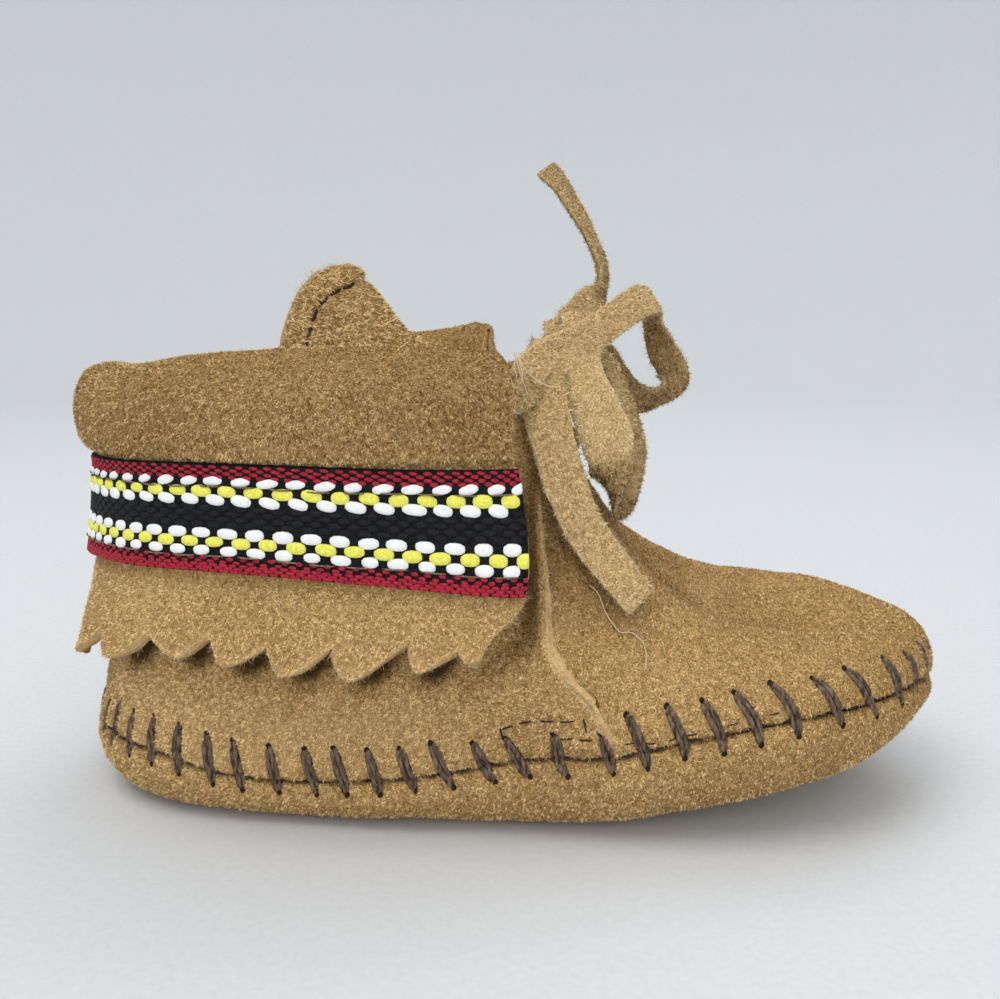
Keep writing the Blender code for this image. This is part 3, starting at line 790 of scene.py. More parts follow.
def thread_finish(name, dark, light, scale, stretch=(1.0, 1.0, 1.0), roughness=0.7):
    """Spun thread: fine streaks with a little relief."""
    mat, tree, shader = finish(name, light, roughness, 0.0, light, 0.25)
    coords = object_coords(tree)
    scaled = add(tree, "ShaderNodeMapping")
    scaled.inputs["Scale"].default_value = stretch
    tree.links.new(coords, scaled.inputs["Vector"])
    streak = noise_node(tree, scaled.outputs["Vector"], scale, 2.0, 0.3)
    colour_by(tree, shader, streak, (0.35, dark), (0.65, light))
    bump(tree, shader, streak, 0.5, 0.00012)
    return mat


def stage_finish():
    mat, tree, shader = finish("stage_paper", (0.66, 0.67, 0.68), 0.9)
    soft = noise_node(tree, object_coords(tree), 900.0, 2.0)
    colour_by(tree, shader, soft, (0.3, (0.64, 0.65, 0.66)), (0.7, (0.68, 0.69, 0.70)))
    return mat


DARK, MIDDLE, LIGHT = (0.190, 0.098, 0.028), (0.450, 0.270, 0.098), (0.700, 0.475, 0.215)
SUEDE = suede_finish("suede_nap", DARK, MIDDLE, LIGHT)
SUEDE_FIBRE = fibre_finish("suede_fibre", (0.20, 0.105, 0.030), (0.92, 0.66, 0.33))
THONG = suede_finish("thong_nap", (0.26, 0.150, 0.052), (0.56, 0.385, 0.170), (0.80, 0.60, 0.32))
THONG_FIBRE = fibre_finish("thong_fibre", (0.36, 0.22, 0.085), (0.90, 0.70, 0.40))
PALE_FIBRE = fibre_finish("cut_edge_fibre", (0.38, 0.27, 0.14), (0.68, 0.54, 0.36))
FELT = suede_finish("insole_nap", (0.36, 0.25, 0.13), (0.48, 0.36, 0.20), (0.60, 0.47, 0.29))
WHIP_THREAD = thread_finish("whip_thread", (0.030, 0.018, 0.011), (0.205, 0.140, 0.092), 2600.0,
                            (1.0, 1.0, 0.25), 0.6)
DARK_THREAD = thread_finish("seam_thread", (0.012, 0.008, 0.006), (0.055, 0.036, 0.024), 3000.0)
TAN_THREAD = thread_finish("band_thread", (0.09, 0.062, 0.035), (0.27, 0.20, 0.115), 3000.0)
HOLE = thread_finish("needle_hole", (0.010, 0.006, 0.004), (0.03, 0.018, 0.010), 3000.0, roughness=0.95)
RED_YARN = thread_finish("red_yarn", (0.24, 0.008, 0.020), (0.46, 0.020, 0.042), 2500.0)
WHITE_YARN = thread_finish("white_yarn", (0.80, 0.80, 0.80), (0.90, 0.90, 0.90), 2500.0)
YELLOW_YARN = thread_finish("yellow_yarn", (0.72, 0.70, 0.085), (0.86, 0.85, 0.15), 2500.0)
BLACK_YARN = thread_finish("black_yarn", (0.002, 0.002, 0.0025), (0.010, 0.010, 0.012), 2500.0)
STAGE = stage_finish()


# ================================================================ camera, light and stage

def build_camera():
    data = bpy.data.cameras.new("camera")
    data.lens = CAMERA_LENS
    data.clip_start = 0.01
    camera = bpy.data.objects.new("camera", data)
    camera.location = Vector(CAMERA_PLACE) * MM
    camera.rotation_euler = [math.radians(angle) for angle in CAMERA_TURN]
    bpy.context.scene.collection.objects.link(camera)
    bpy.context.scene.camera = camera


def build_light(name, place, size, power, colour):
    data = bpy.data.lights.new(name, "AREA")
    data.shape = "DISK"
    data.size = size
    data.energy = power
    data.color = colour
    light = bpy.data.objects.new(name, data)
    light.location = place
    light.rotation_euler = (Vector(LIGHT_AIM) - Vector(place)).to_track_quat("-Z", "Y").to_euler()
    bpy.context.scene.collection.objects.link(light)


def build_stage():
    """A pale round floor that turns up into a wall, so that no view has a horizon."""
    profile = [(0.0, 0.0), (0.35, 0.0), (FLOOR_FLAT, 0.0)]
    profile += [(FLOOR_FLAT + FLOOR_BEND * math.sin(a), FLOOR_BEND - FLOOR_BEND * math.cos(a))
                for a in np.linspace(0.15, 1.57, 10)]
    profile += [(FLOOR_FLAT + FLOOR_BEND, z) for z in (0.7, 1.1)]
    turns = np.linspace(0.0, 2.0 * math.pi, 73)
    points = [(r * math.cos(t) * 1000.0, r * math.sin(t) * 1000.0, z * 1000.0 - 0.02)
              for t in turns for r, z in profile]
    mesh = bpy.data.meshes.new("stage_floor")
    mesh.from_pydata((np.array(points) * MM).tolist(), [], grid_faces(len(turns), len(profile)).tolist())
    mesh.shade_smooth()
    mesh.materials.append(STAGE)
    floor = bpy.data.objects.new("stage_floor", mesh)
    bpy.context.scene.collection.objects.link(floor)


def build_world():
    world = bpy.data.worlds.new("studio")
    world.use_nodes = True
    back = world.node_tree.nodes["Background"]
    back.inputs["Color"].default_value = (*WORLD_COLOUR, 1.0)
    back.inputs["Strength"].default_value = WORLD_STRENGTH
    bpy.context.scene.world = world


bpy.context.scene.view_settings.view_transform = "Standard"
build_camera()
build_world()
build_stage()
for light in LIGHTS:
    build_light(*light)


# ================================================================ thong

# name: node, its route, what its far end is, and tables by share of its length: which way its face looks,
# how far it reaches to its left and right as it hangs, and how dark its face and its back are: the back is
# the lace's darker side, the deeper darkening inside and under the loops is painted shade
THONG_STRIPS = {
    "lace_end_near": ("thong_end_near", NEAR_END_ROUTE, "bare",
                      ((0.0, 0.1, -1.0, 0.35), (0.2, 0.05, -1.0, 0.15), (0.7, 0.35, -0.95, 0.25),
                       (1.0, 0.50, -0.75, 0.50)),
                      ((0.0, 3.9, 1.7), (0.15, 4.6, 1.2), (0.31, 4.1, 1.8), (0.46, 3.2, 2.3), (0.7, 2.8, 2.8),
                       (0.85, 2.5, 3.1), (1.0, 2.5, 3.0)),
                      ((0.0, -0.05, -0.3), (1.0, 0.0, -0.3))),
    "lace_loop_near": ("thong_loop_near", NEAR_LOOP_ROUTE, "object",
                       ((0.0, 0.0, -1.0, 0.40), (0.2, 0.05, -1.0, 0.15), (0.35, 0.05, -1.0, -0.1),
                        (0.41, -0.7, -0.6, -0.1), (0.47, -0.95, 0.1, -0.3), (0.54, -0.8, 0.5, -0.2),
                        (0.64, -0.85, 0.5, 0.0), (0.8, -0.9, 0.4, 0.1), (1.0, -0.9, 0.3, 0.2)),
                       ((0.0, 3.4, 2.2), (0.1, 3.9, 2.4), (0.2, 3.2, 3.3), (0.3, 3.0, 3.5),
                        (0.36, 2.8, 2.6), (0.43, 3.6, 2.0), (0.52, 3.8, 1.6), (0.8, 3.8, 1.6),
                        (1.0, 2.3, 2.3)),
                       ((0.0, 0.06, -0.3), (0.32, 0.08, -0.35), (0.38, -0.40, -0.55), (0.5, -0.45, -0.50),
                        (0.6, -0.2, -0.22), (1.0, -0.2, -0.2))),
    "lace_loop_far": ("thong_loop_far", FAR_LOOP_ROUTE, "object",
                      ((0.0, -0.15, -0.9, 0.5), (0.16, 0.1, -0.9, 0.5), (0.24, 0.3, -0.7, 0.6),
                       (0.31, 0.9, -0.1, 0.5), (0.38, 0.75, 0.55, 0.2), (0.5, 0.3, 0.9, 0.1),
                       (0.65, 0.0, 0.7, 0.7), (0.85, -0.6, 0.7, -0.3), (1.0, -0.5, 0.8, 0.0)),
                      ((0.0, 2.4, 2.4), (0.2, 2.5, 2.5), (1.0, 2.3, 2.3)),
                      ((0.0, 0.0, -0.3), (0.3, 0.0, -0.3), (0.5, -0.1, -0.3), (0.65, -0.2, -0.45),
                       (1.0, -0.3, -0.45))),
    "lace_end_far": ("thong_end_far", FAR_END_ROUTE, "bare",
                     ((0.0, 0.1, -0.9, 0.4), (0.22, 0.2, -0.9, 0.35), (0.32, 0.95, -0.25, 0.0),
                      (0.55, 0.93, -0.35, 0.1), (1.0, 0.75, -0.65, 0.1)),
                     ((0.0, 2.5, 2.5), (0.25, 2.3, 2.3), (0.35, 1.8, 1.8), (0.6, 2.0, 2.0), (1.0, 2.2, 2.2)),
                     ((0.0, -0.05, -0.3), (0.25, -0.10, -0.3), (0.35, -0.25, -0.3), (1.0, -0.20, -0.3))),
}

# Where the loops and ends come out of the knot: short stretches that lead back into it
KNOT_LEADS = {
    "lead_end_near": (
        ((8.9, -6.0, 65.8), (8.9, -8.4, 66.2), (8.8, -10.2, 64.9), (8.7, -10.9, 62.8), (8.4, -12.2, 61.9)),
        ((0.0, 0.0, -0.1, 1.0), (0.45, 0.0, -0.5, 0.9), (0.8, 0.05, -1.0, 0.3), (1.0, 0.1, -1.0, 0.35))),
    "lead_loop_near": (
        ((10.8, -6.4, 66.6), (11.0, -8.6, 67.2), (11.2, -10.4, 66.2), (11.3, -11.2, 64.2),
         (11.5, -12.3, 62.4)),
        ((0.0, 0.0, -0.1, 1.0), (0.45, 0.0, -0.6, 0.8), (0.8, 0.0, -1.0, 0.3), (1.0, 0.0, -1.0, 0.38))),
    "lead_loop_far": (
        ((9.8, -7.2, 63.6), (11.4, -5.8, 64.0), (13.0, -4.2, 64.5), (14.4, -3.0, 65.4)),
        ((0.0, -0.3, -0.9, 0.3), (1.0, -0.15, -0.9, 0.5))),
    "lead_end_far": (
        ((8.2, -3.6, 63.0), (8.9, -1.6, 64.2), (9.8, 0.5, 65.1), (10.8, 2.0, 66.4)),
        ((0.0, -0.1, -0.8, 0.6), (1.0, 0.15, -0.9, 0.35))),
}
KNOT_CENTRE = (9.9, -5.4, 63.4)
KNOT_TURNS = (           # along Y from and to, radius, start and end angle in degrees, width
    (-4.4, -2.6, 2.2, -70.0, 300.0, 3.8),
    (0.2, 1.8, 2.5, 0.0, 370.0, 4.2),
    (3.4, 4.6, 2.1, -40.0, 300.0, 3.4),
)
KNOT_TURN_POINTS = 14
PULL_ROUTE = ((3.8, -18.6, 59.4), (5.2, -15.6, 61.2), (7.0, -13.2, 62.6), (9.4, -12.2, 63.6),
              (11.8, -11.9, 64.6), (13.2, -10.2, 65.4), (12.8, -7.6, 65.8))
PULL_FACING = ((0.0, -0.1, -1.0, 0.2), (0.5, 0.05, -1.0, 0.25), (0.75, 0.5, -0.8, 0.4),
               (1.0, 0.9, -0.2, 0.5))
BAND_FACING = ((0.0, -0.1, -1.0, 0.0), (0.2, 0.2, -1.0, 0.1), (0.30, 0.35, -0.9, 0.35),
               (0.38, 0.6, -0.5, 0.75), (0.5, 0.8, 0.0, 0.6), (0.62, 0.6, 0.5, 0.75),
               (0.75, 0.35, 1.0, 0.2), (1.0, -0.1, 1.0, 0.0))


def strip_frames(line, facing):
    """Directions across and out of a strip at each point of its line."""
    along = unit(np.gradient(line, axis=0))
    run = lengths(line)
    out = np.stack(read_table(facing, run / run[-1]), axis=1)
    out = unit(out - along * np.sum(out * along, axis=1, keepdims=True))
    return np.cross(along, out), out


def strip_patch(line, facing, reach, lift, cup=0.25, seed=1.0):
    """One face of a strip as a patch: columns along it and rows across it."""
    across, out = strip_frames(line, facing)
    stops = np.linspace(0.0, 1.0, len(line))
    left, right = read_table(reach, stops)
    shares = np.linspace(-1.0, 1.0, 13)
    uneven = 1.0 + 0.08 * noise_at(line, 5.0, seed)
    grid = np.empty((len(line), len(shares), 3))
    for k, share in enumerate(shares):
        wide = share * uneven * (left if share > 0.0 else right)
        wide = wide + 0.10 * noise_at(line + 40.0 * share, 1.3, seed)
        rise = lift * (1.0 - 0.75 * abs(share) ** 5) + cup * (share * share - 0.4)
        rise = rise + 0.12 * noise_at(line + share * 3.0, 2.2, seed + 2.0)
        crease = np.sin(stops * len(line) * 0.6 * 2.0 * math.pi / 1.7 + 3.0 * share)
        rise = rise + 0.13 * crease * np.clip(1.0 - stops / 0.35, 0.0, 1.0)
        grid[:, k] = line + across * wide[:, None] + out * np.asarray(rise).reshape(-1, 1)
    return Patch(grid)


def strip_mesh(name, top, under, node, finish_used, shades):
    """A closed strip between its two faces. shades: how dark face and back are at each column, from the
    lace's darker back and painted shade in the loops.
    """
    columns, rows = top.grid.shape[:2]
    ring = np.concatenate([top.grid, under.grid[:, ::-1]], axis=1)
    count = 2 * rows
    faces = []
    for i in range(columns - 1):
        for j in range(count):
            a, b = i * count + j, i * count + (j + 1) % count
            faces.append((a, b, b + count, a + count))
    last = (columns - 1) * count
    for k in range(rows - 1):
        faces.append((k + 1, k, count - 1 - k, count - 2 - k))
        faces.append((last + k, last + k + 1, last + count - 2 - k, last + count - 1 - k))
    edge = (np.abs(np.linspace(-1.0, 1.0, rows)) > 0.95) * 0.25
    wear = np.concatenate([edge + shades[0][:, None], edge[::-1] + shades[1][:, None]], axis=1)
    return new_piece(name, ring.reshape(-1, 3), faces, finish_used, "thong_suede", (node,) if node else (),
                     wear=wear)


def strip(name, node, route, facing, reach=2.4, shade=0.0, thick=THONG_THICK, cup=0.25, seed=1.0):
    """A flat stretch of thong with its nap. Returns the piece and the line it follows."""
    line = smooth_route(route, 0.6)
    reach = reach if isinstance(reach, tuple) else ((0.0, reach, reach),)
    shade = shade if isinstance(shade, tuple) else ((0.0, shade, shade),)
    shades = read_table(shade, np.linspace(0.0, 1.0, len(line)))
    top = strip_patch(line, facing, reach, thick / 2, cup, seed)
    under = strip_patch(line, facing, reach, -thick / 2, cup, seed)
    under.flip = -1.0
    under.settle()
    obj = strip_mesh(name, top, under, node, THONG, shades)
    rows = np.zeros((1, top.grid.shape[1]))
    for side, patch, tone in (("face", top, shades[0]), ("back", under, shades[1])):
        p, q = scatter(patch, 12.0, lambda places, p, q: np.ones(len(p)), int(seed * 10) + len(side))
        nap(f"{name}_{side}_nap", patch, p, q, lambda places: np.tile((0.2, 0.1, -1.0), (len(places), 1)),
            THONG_FIBRE, "thong_suede", int(seed * 100), 0.6, 0.15, 0.5, 1.2, wear=1.3 * tone[:, None] + rows)
    dice = np.random.default_rng(int(seed * 1000))
    count = int(len(line) * 14)
    p = dice.random(count) * (len(line) - 1)
    q = np.where(dice.random(count) < 0.5, 0.15, top.grid.shape[1] - 1.15)
    place, normal = top.read(p, q)
    middle = top.place(p, np.full(count, (top.grid.shape[1] - 1) / 2.0))
    low = under.place(p, q)
    place = place + (low - place) * dice.random(count)[:, None]
    hairs(f"{name}_edge_hairs", place, unit(place - middle) + 0.4 * normal, PALE_FIBRE, "thong_suede",
          int(seed * 7), 0.36, 0.07, 0.8)
    return obj, line


def build_thong():
    """The bow: two loops and two ends of one flat lace."""
    for k, (name, (node, route, far_end, facing, reach, shade)) in enumerate(THONG_STRIPS.items()):
        obj, line = strip(name, node, route, facing, reach, shade, seed=3.0 + k)


def build_thong_band():
    """The stretch that comes out of both ends of the fold and passes in front of the throat."""
    far_side = [(x, -y, z) for x, y, z in BAND_ROUTE[-2::-1]]
    route = list(BAND_ROUTE) + far_side
    strip("lace_band", "thong_band", route, BAND_FACING, 1.9, -0.22, 1.2, 0.15, 9.0)


def build_knot():
    """The knot: turns of the lace drawn tight round the leads of the loops and ends."""
    for k, (name, (route, facing)) in enumerate(KNOT_LEADS.items()):
        strip(name, "thong_knot" if k == 0 else None, route, facing, seed=20.0 + k)
    for k, (low, high, radius, start, end, width) in enumerate(KNOT_TURNS):
        angles = np.radians(np.linspace(start, end, KNOT_TURN_POINTS))
        ys = np.linspace(low, high, KNOT_TURN_POINTS)
        route = [np.array(KNOT_CENTRE) + np.array([radius * math.cos(a), y, 0.9 * radius * math.sin(a)])
                 for a, y in zip(angles, ys)]
        facing = [(i / (KNOT_TURN_POINTS - 1.0), math.cos(a), 0.1, math.sin(a))
                  for i, a in enumerate(angles)]
        strip(f"knot_turn_{k + 1}", None, route, facing, width / 2, 0.0, 1.1, -0.15, 30.0 + k)
    strip("knot_pull", None, PULL_ROUTE, PULL_FACING, 2.2, 0.0, 1.1, 0.35, 36.0)


# Loose fibres: a few off the near lap's top edge and a long one on the vamp under the near end
STRAY_FIBRES = (
    ((2.6, -20.2, 63.2), (3.2, -20.9, 61.2), (3.9, -21.0, 59.1), (4.5, -20.9, 57.5)),
    ((2.9, -20.2, 62.7), (4.6, -21.1, 60.4), (6.8, -21.4, 59.1), (8.5, -21.2, 58.9)),
    ((2.8, -20.1, 63.2), (3.6, -20.9, 60.7), (3.4, -21.2, 58.5), (3.9, -21.0, 57.0)),
    ((3.0, -20.1, 63.0), (2.6, -21.0, 61.5), (2.9, -21.3, 60.2), (2.3, -21.2, 59.0)),
    ((12.3, -22.9, 33.9), (13.4, -23.2, 32.9), (14.4, -24.2, 30.6), (16.0, -25.0, 28.5), (17.3, -24.8, 28.3),
     (18.1, -24.9, 28.0), (19.1, -25.3, 27.0), (19.4, -26.0, 25.7), (19.3, -26.9, 24.1)),
)


def build_stray_fibres():
    lines = [np.array([spline(line, t) for t in np.linspace(0.0, len(line) - 1.0, 8 * len(line))])
             for line in STRAY_FIBRES]
    points, faces = tubes(lines, 0.07, 5)
    new_piece("stray_fibres", points, faces, PALE_FIBRE, "thong_suede", tone=np.full(len(points), 0.9))


build_thong()
build_thong_band()
build_knot()
build_stray_fibres()


# ================================================================ upper and sole: one set of columns

def seam_run():
    """Rows of SECTIONS, the length of the seam up to each, and its x, on one side."""
    rows = np.linspace(0.0, LAST_ROW, 421)
    line = np.array([skin(u, 0.0) for u in rows])
    return rows, lengths(line), line[:, 0]


SEAM_ROWS, SEAM_LENGTHS, SEAM_X = seam_run()
SEAM_END = SEAM_LENGTHS[-1]


def seam_columns():
    """Signed rows of SECTIONS round the whole shoe: the near side is negative, the heel is 0."""
    stops = np.linspace(0.0, SEAM_END, int(SEAM_END / SEAM_STEP) + 1)
    rows = np.interp(stops, SEAM_LENGTHS, SEAM_ROWS)
    rows = rows[(rows < LAP_ROW - 0.02) | (rows > LAP_ROW + LAP_FACE + 0.04)]
    rows = np.sort(np.append(rows, (LAP_ROW, LAP_ROW + LAP_FACE)))
    return np.concatenate([-rows[:0:-1], rows])


COLUMNS = seam_columns()
COLUMN_NUMBERS = np.arange(len(COLUMNS))
LAP_COLUMNS = np.abs(np.abs(COLUMNS) - (LAP_ROW + LAP_FACE / 2)) < LAP_FACE      # the step's face
COLUMN_RUN = np.sign(COLUMNS) * np.interp(np.abs(COLUMNS), SEAM_ROWS, SEAM_LENGTHS)
UPPER_STOPS = np.concatenate([(0.0, 0.006, 0.014, 0.024, 0.036, 0.05, 0.066, 0.085, 0.105, 0.125, 0.15),
                              np.linspace(0.175, 1.0, 32)])
SOLE_ROWS = np.concatenate([(0.0, 0.02, 0.04, 0.065, 0.09, 0.12, 0.15, 0.19), np.linspace(0.24, 1.0, 11)])


def raw_upper():
    """The upper's outer skin all round, with the step at the quarter's front edge."""
    grid = np.empty((len(COLUMNS), len(UPPER_STOPS), 3))
    for i, u in enumerate(COLUMNS):
        row = abs(u)
        for j, v in enumerate(UPPER_STOPS):
            at = row + read_table(LAP_SWAY, v)[0] * math.exp(-((row - LAP_ROW) / 1.6) ** 2)
            point = skin(at, v) + skin_normal(at, v) * lap(row) * min(1.0, v / 0.07) ** 2
            if row == LAST_ROW or (row >= CREST_ROW and j == len(UPPER_STOPS) - 1):
                point[1] = 0.0
            grid[i, j] = point
        if u < 0.0:
            grid[i, :, 1] *= -1.0
    return grid


def raw_sole():
    """The sole's outer face all round, from the seam down and in to the middle line."""
    grid = np.empty((len(COLUMNS), len(SOLE_ROWS) + 5, 3))
    for i, u in enumerate(COLUMNS):
        row = section(abs(u))
        out = outward(abs(u))
        seam = np.array([row["seam_x"], row["seam_y"], row["seam_z"]])
        inset = tuck(row["seam_x"])
        foot = flat_edge(abs(u), inset)
        leave = seam + out * SOLE_SWELL - np.array([0.0, 0.0, 0.62 * (seam[2] - foot[2])])
        arrive = foot + out * 0.55 * inset
        middle = middle_of_flat(abs(u), inset)
        rib = [bezier(seam, leave, arrive, foot, t) for t in SOLE_ROWS]
        for share in np.linspace(0.0, 1.0, 6)[1:]:
            point = foot + (middle - foot) * share
            point[2] = spring(point[0])
            rib.append(point)
        grid[i] = rib
        if abs(u) in (0.0, LAST_ROW):
            grid[i, :, 1] = 0.0
        if u < 0.0:
            grid[i, :, 1] *= -1.0
    return grid


def rib_heights(grid):
    """Length along each rib up to each of its points."""
    step = np.linalg.norm(np.diff(grid, axis=1), axis=2)
    return np.concatenate([np.zeros((len(grid), 1)), np.cumsum(step, axis=1)], axis=1)


def whips():
    """Whip stitches as rows: run along the seam of the foot and of the top, reach under and over it."""
    dice = np.random.default_rng(11)
    near = list(np.interp(WHIP_NEAR, SEAM_X, SEAM_LENGTHS))
    heel = list(np.arange(near[0] - WHIP_PITCH, -0.5, -WHIP_PITCH))
    toe = list(np.arange(near[-1] + WHIP_PITCH, SEAM_END - 1.0, WHIP_PITCH))
    near = sorted(heel) + near + toe
    far = [run + dice.normal(0.0, 0.35) for run in np.arange(3.4, SEAM_END - 1.0, WHIP_PITCH)]
    rows = []
    for side, runs in ((-1.0, near), (1.0, far)):
        for run in runs:
            x = float(np.interp(run, SEAM_LENGTHS, SEAM_X))
            under, over, lean = read_table(WHIP_SHAPE, x)
            under, over = under + dice.normal(0.0, 0.12), over + dice.normal(0.0, 0.3)
            lean = lean * (1.0 if 8.0 < run < SEAM_END - 14.0 else 0.5) + dice.normal(0.0, 0.2)
            rows.append((side * run, side * (run + lean - rib_lean(run, over)), under, over))
    return np.array(rows)


def rib_lean(run, height):
    """How far the upper's rib at this run has gone forwards, along the seam, at a height over it."""
    i = int(np.argmin(np.abs(COLUMN_RUN - run)))
    rib = UPPER.grid[i]
    top = np.array([np.interp(height, UPPER_HEIGHT[i], rib[:, k]) for k in range(3)])
    out = outward(abs(COLUMNS[i]))
    along = np.array([out[1] * np.sign(COLUMNS[i]), -out[0]])
    return float((top - rib[0])[:2] @ along)


def whip_distance(run, height):
    """Distance of each point, unrolled round the seam, to the nearest whip stitch."""
    best = np.full(run.shape, 99.0)
    for foot, top, under, over in WHIPS:
        close = np.abs(run - (foot + top) / 2.0) < 7.0
        a, b = np.array([foot, -under]), np.array([top, over])
        way = b - a
        rel = np.stack([run[close] - a[0], height[close] - a[1]], axis=-1)
        share = np.clip(rel @ way / (way @ way), 0.0, 1.0)
        away = np.linalg.norm(rel - share[:, None] * way, axis=1)
        best[close] = np.minimum(best[close], away)
    return best


def seam_relief(run, height):
    """The seam's groove, the dents under the stitches and the puckers between them."""
    rise = np.abs(height)
    away = whip_distance(run, height)
    groove = -0.45 * np.exp(-(rise / 0.45) ** 2)
    dents = -0.50 * np.exp(-(away / 0.75) ** 2)
    pucker = 0.42 * np.exp(-((rise - 2.0) / 1.7) ** 2) * (1.0 - np.exp(-(away / 1.5) ** 2))
    return groove + dents + pucker


# Soft folds: which pair of coordinates places them (1 for x and y, 2 for x and z), the places, depth
# (a trough is negative) and half width
FOLDS = (
    (1, ((20.3, 20.2), (25.0, 20.6), (29.3, 21.3), (34.0, 21.9), (40.3, 21.5), (46.8, 18.6), (51.7, 15.2)),
     0.9, 2.8),
    (1, ((30.2, 0.5), (31.1, 6.2), (33.3, 13.0), (38.7, 15.5), (46.1, 11.1)), -1.5, 4.2),
    (2, ((12.0, 44.0), (15.5, 38.0), (19.0, 33.5)), -0.7, 2.4),
    (2, ((-8.0, 20.0), (0.0, 17.8), (8.0, 19.0)), 0.5, 2.6),
    (2, ((-52.0, 16.0), (-56.0, 21.0), (-57.5, 27.0)), -0.5, 2.6),
    (2, ((-30.0, 17.0), (-18.0, 18.5), (-6.0, 23.0)), -0.45, 3.2),
)


# Painted shade, painted light and lighter places of the upper, in the same columns: less than 0 is darker
SHADES = (
    # painted shadow of the cuff's front edge and the lace, beside the lap and on the vamp
    (2, ((4.6, 54.0), (5.6, 46.0), (6.6, 38.0), (5.0, 30.0)), -0.34, 3.2),
    (2, ((8.6, 47.3), (10.5, 41.2), (12.5, 36.5), (15.0, 31.8)), -0.20, 3.4),
    (2, ((7.2, 46.6), (8.6, 39.4), (10.0, 34.0), (12.5, 31.9), (15.1, 32.0), (19.0, 31.0)), -0.22, 4.2),
    (2, ((4.7, 47.0), (4.7, 37.3), (4.7, 30.3), (3.9, 27.8), (0.2, 24.3), (-2.6, 22.6)), -0.70, 1.7),
    # painted shadow under the cuff's hem
    (2, ((-58.0, 27.5), (-45.0, 28.0), (-30.0, 27.5), (-15.0, 28.5), (-3.0, 29.0)), -0.60, 2.4),
    (2, ((15.5, 27.0), (20.0, 22.0), (30.0, 23.0)), 0.06, 4.0),
    # painted shade below the near ridge of the instep, and a painted highlight above it
    (1, ((12.5, 13.0), (17.0, 11.0), (22.0, 11.5), (26.0, 15.0), (28.0, 19.0)), -0.26, 2.6),
    (1, ((21.0, 5.0), (25.5, 6.0), (30.0, 10.0), (33.0, 15.5)), 0.16, 2.6),
    (2, ((-54.0, 15.0), (-40.0, 13.0), (-20.0, 13.0), (-5.0, 14.0)), 0.14, 6.0),
)


# The near ridge of the instep and the crease behind it, as in FOLDS
NEAR_CREASE = (
    (1, ((15.5, 9.5), (19.8, 7.5), (25.0, 8.5), (28.5, 12.5), (30.5, 18.0)), 1.2, 1.8),
    (1, ((20.5, 4.5), (25.5, 5.0), (30.0, 8.5), (33.5, 14.0)), -1.4, 2.4),
)


# The instep has sunk beyond the near ridge: one wide trough over the far half, as in FOLDS
SUNK_INSTEP = (
    (1, ((12.0, 4.5), (16.0, 4.5), (20.0, 4.8), (24.0, 5.0), (28.0, 4.5), (31.0, 4.0)), -3.2, 8.5),
)


def notch_strokes():
    """Painted shadow strokes on the upper under each tooth's front flank, as SHADES gives them."""
    strokes = []
    for (tip_x, tip_z), (notch_x, notch_z) in zip(HEM_NEAR[2:-1:2], HEM_NEAR[3::2]):
        middle = ((tip_x + notch_x) / 2.0 + 0.3, (tip_z + notch_z) / 2.0 - 2.2)
        strokes.append((2, ((tip_x + 0.8, tip_z - 1.8), middle, (notch_x, notch_z - 1.8)), -1.5, 1.8))
    return strokes


def along_lines(patch, table, sides=(-1.0, 1.0)):
    """Sum of the table's soft bands on a patch: each fades to both sides and towards its ends."""
    total = np.zeros(patch.grid.shape[:2])
    for side in sides:
        for other, places, deep, wide in table:
            ends = [(a, b * side) if other == 1 else (a, b) for a, b in places]
            line = patch.place(*patch.line(ends, 0.8, side, other))
            fade = np.sin(np.pi * np.clip(np.linspace(0.0, 1.0, len(line)), 0.04, 0.96)) ** 0.5
            best = np.zeros(total.shape)
            for point, strength in zip(line, fade):
                away = np.linalg.norm(patch.grid - point, axis=2)
                best = np.maximum(best, strength * np.exp(-(away / wide) ** 2))
            total += deep * best
    return total


UPPER = Patch(raw_upper())
SOLE = Patch(raw_sole(), -1.0)
RUN = COLUMN_RUN[:, None]
UPPER_HEIGHT = rib_heights(UPPER.grid)
SOLE_HEIGHT = -rib_heights(SOLE.grid)
WHIPS = whips()


def shape_upper():
    run = np.broadcast_to(RUN, UPPER_HEIGHT.shape)
    fade = np.clip((56.0 - UPPER.grid[..., 2]) / 10.0, 0.0, 1.0)
    lumps = 0.55 * noise_at(UPPER.grid, 13.0, 3.0) + 0.22 * noise_at(UPPER.grid, 4.5, 8.0)
    depth = seam_relief(run, UPPER_HEIGHT) + along_lines(UPPER, FOLDS) + lumps * fade
    depth += along_lines(UPPER, NEAR_CREASE, (-1.0,)) + along_lines(UPPER, SUNK_INSTEP, (1.0,))
    depth[:, -1] *= 0.3
    UPPER.push(depth)
    UPPER.grid[LAP_COLUMNS, :, 0] += 0.45 * noise_at(UPPER.grid[LAP_COLUMNS], 1.6, 7.0)
    for i, u in enumerate(COLUMNS):
        if abs(u) >= CREST_ROW:
            UPPER.grid[i, -1, 1] = 0.0
        if abs(u) == LAST_ROW:
            UPPER.grid[i, :, 1] = 0.0
    UPPER.settle()


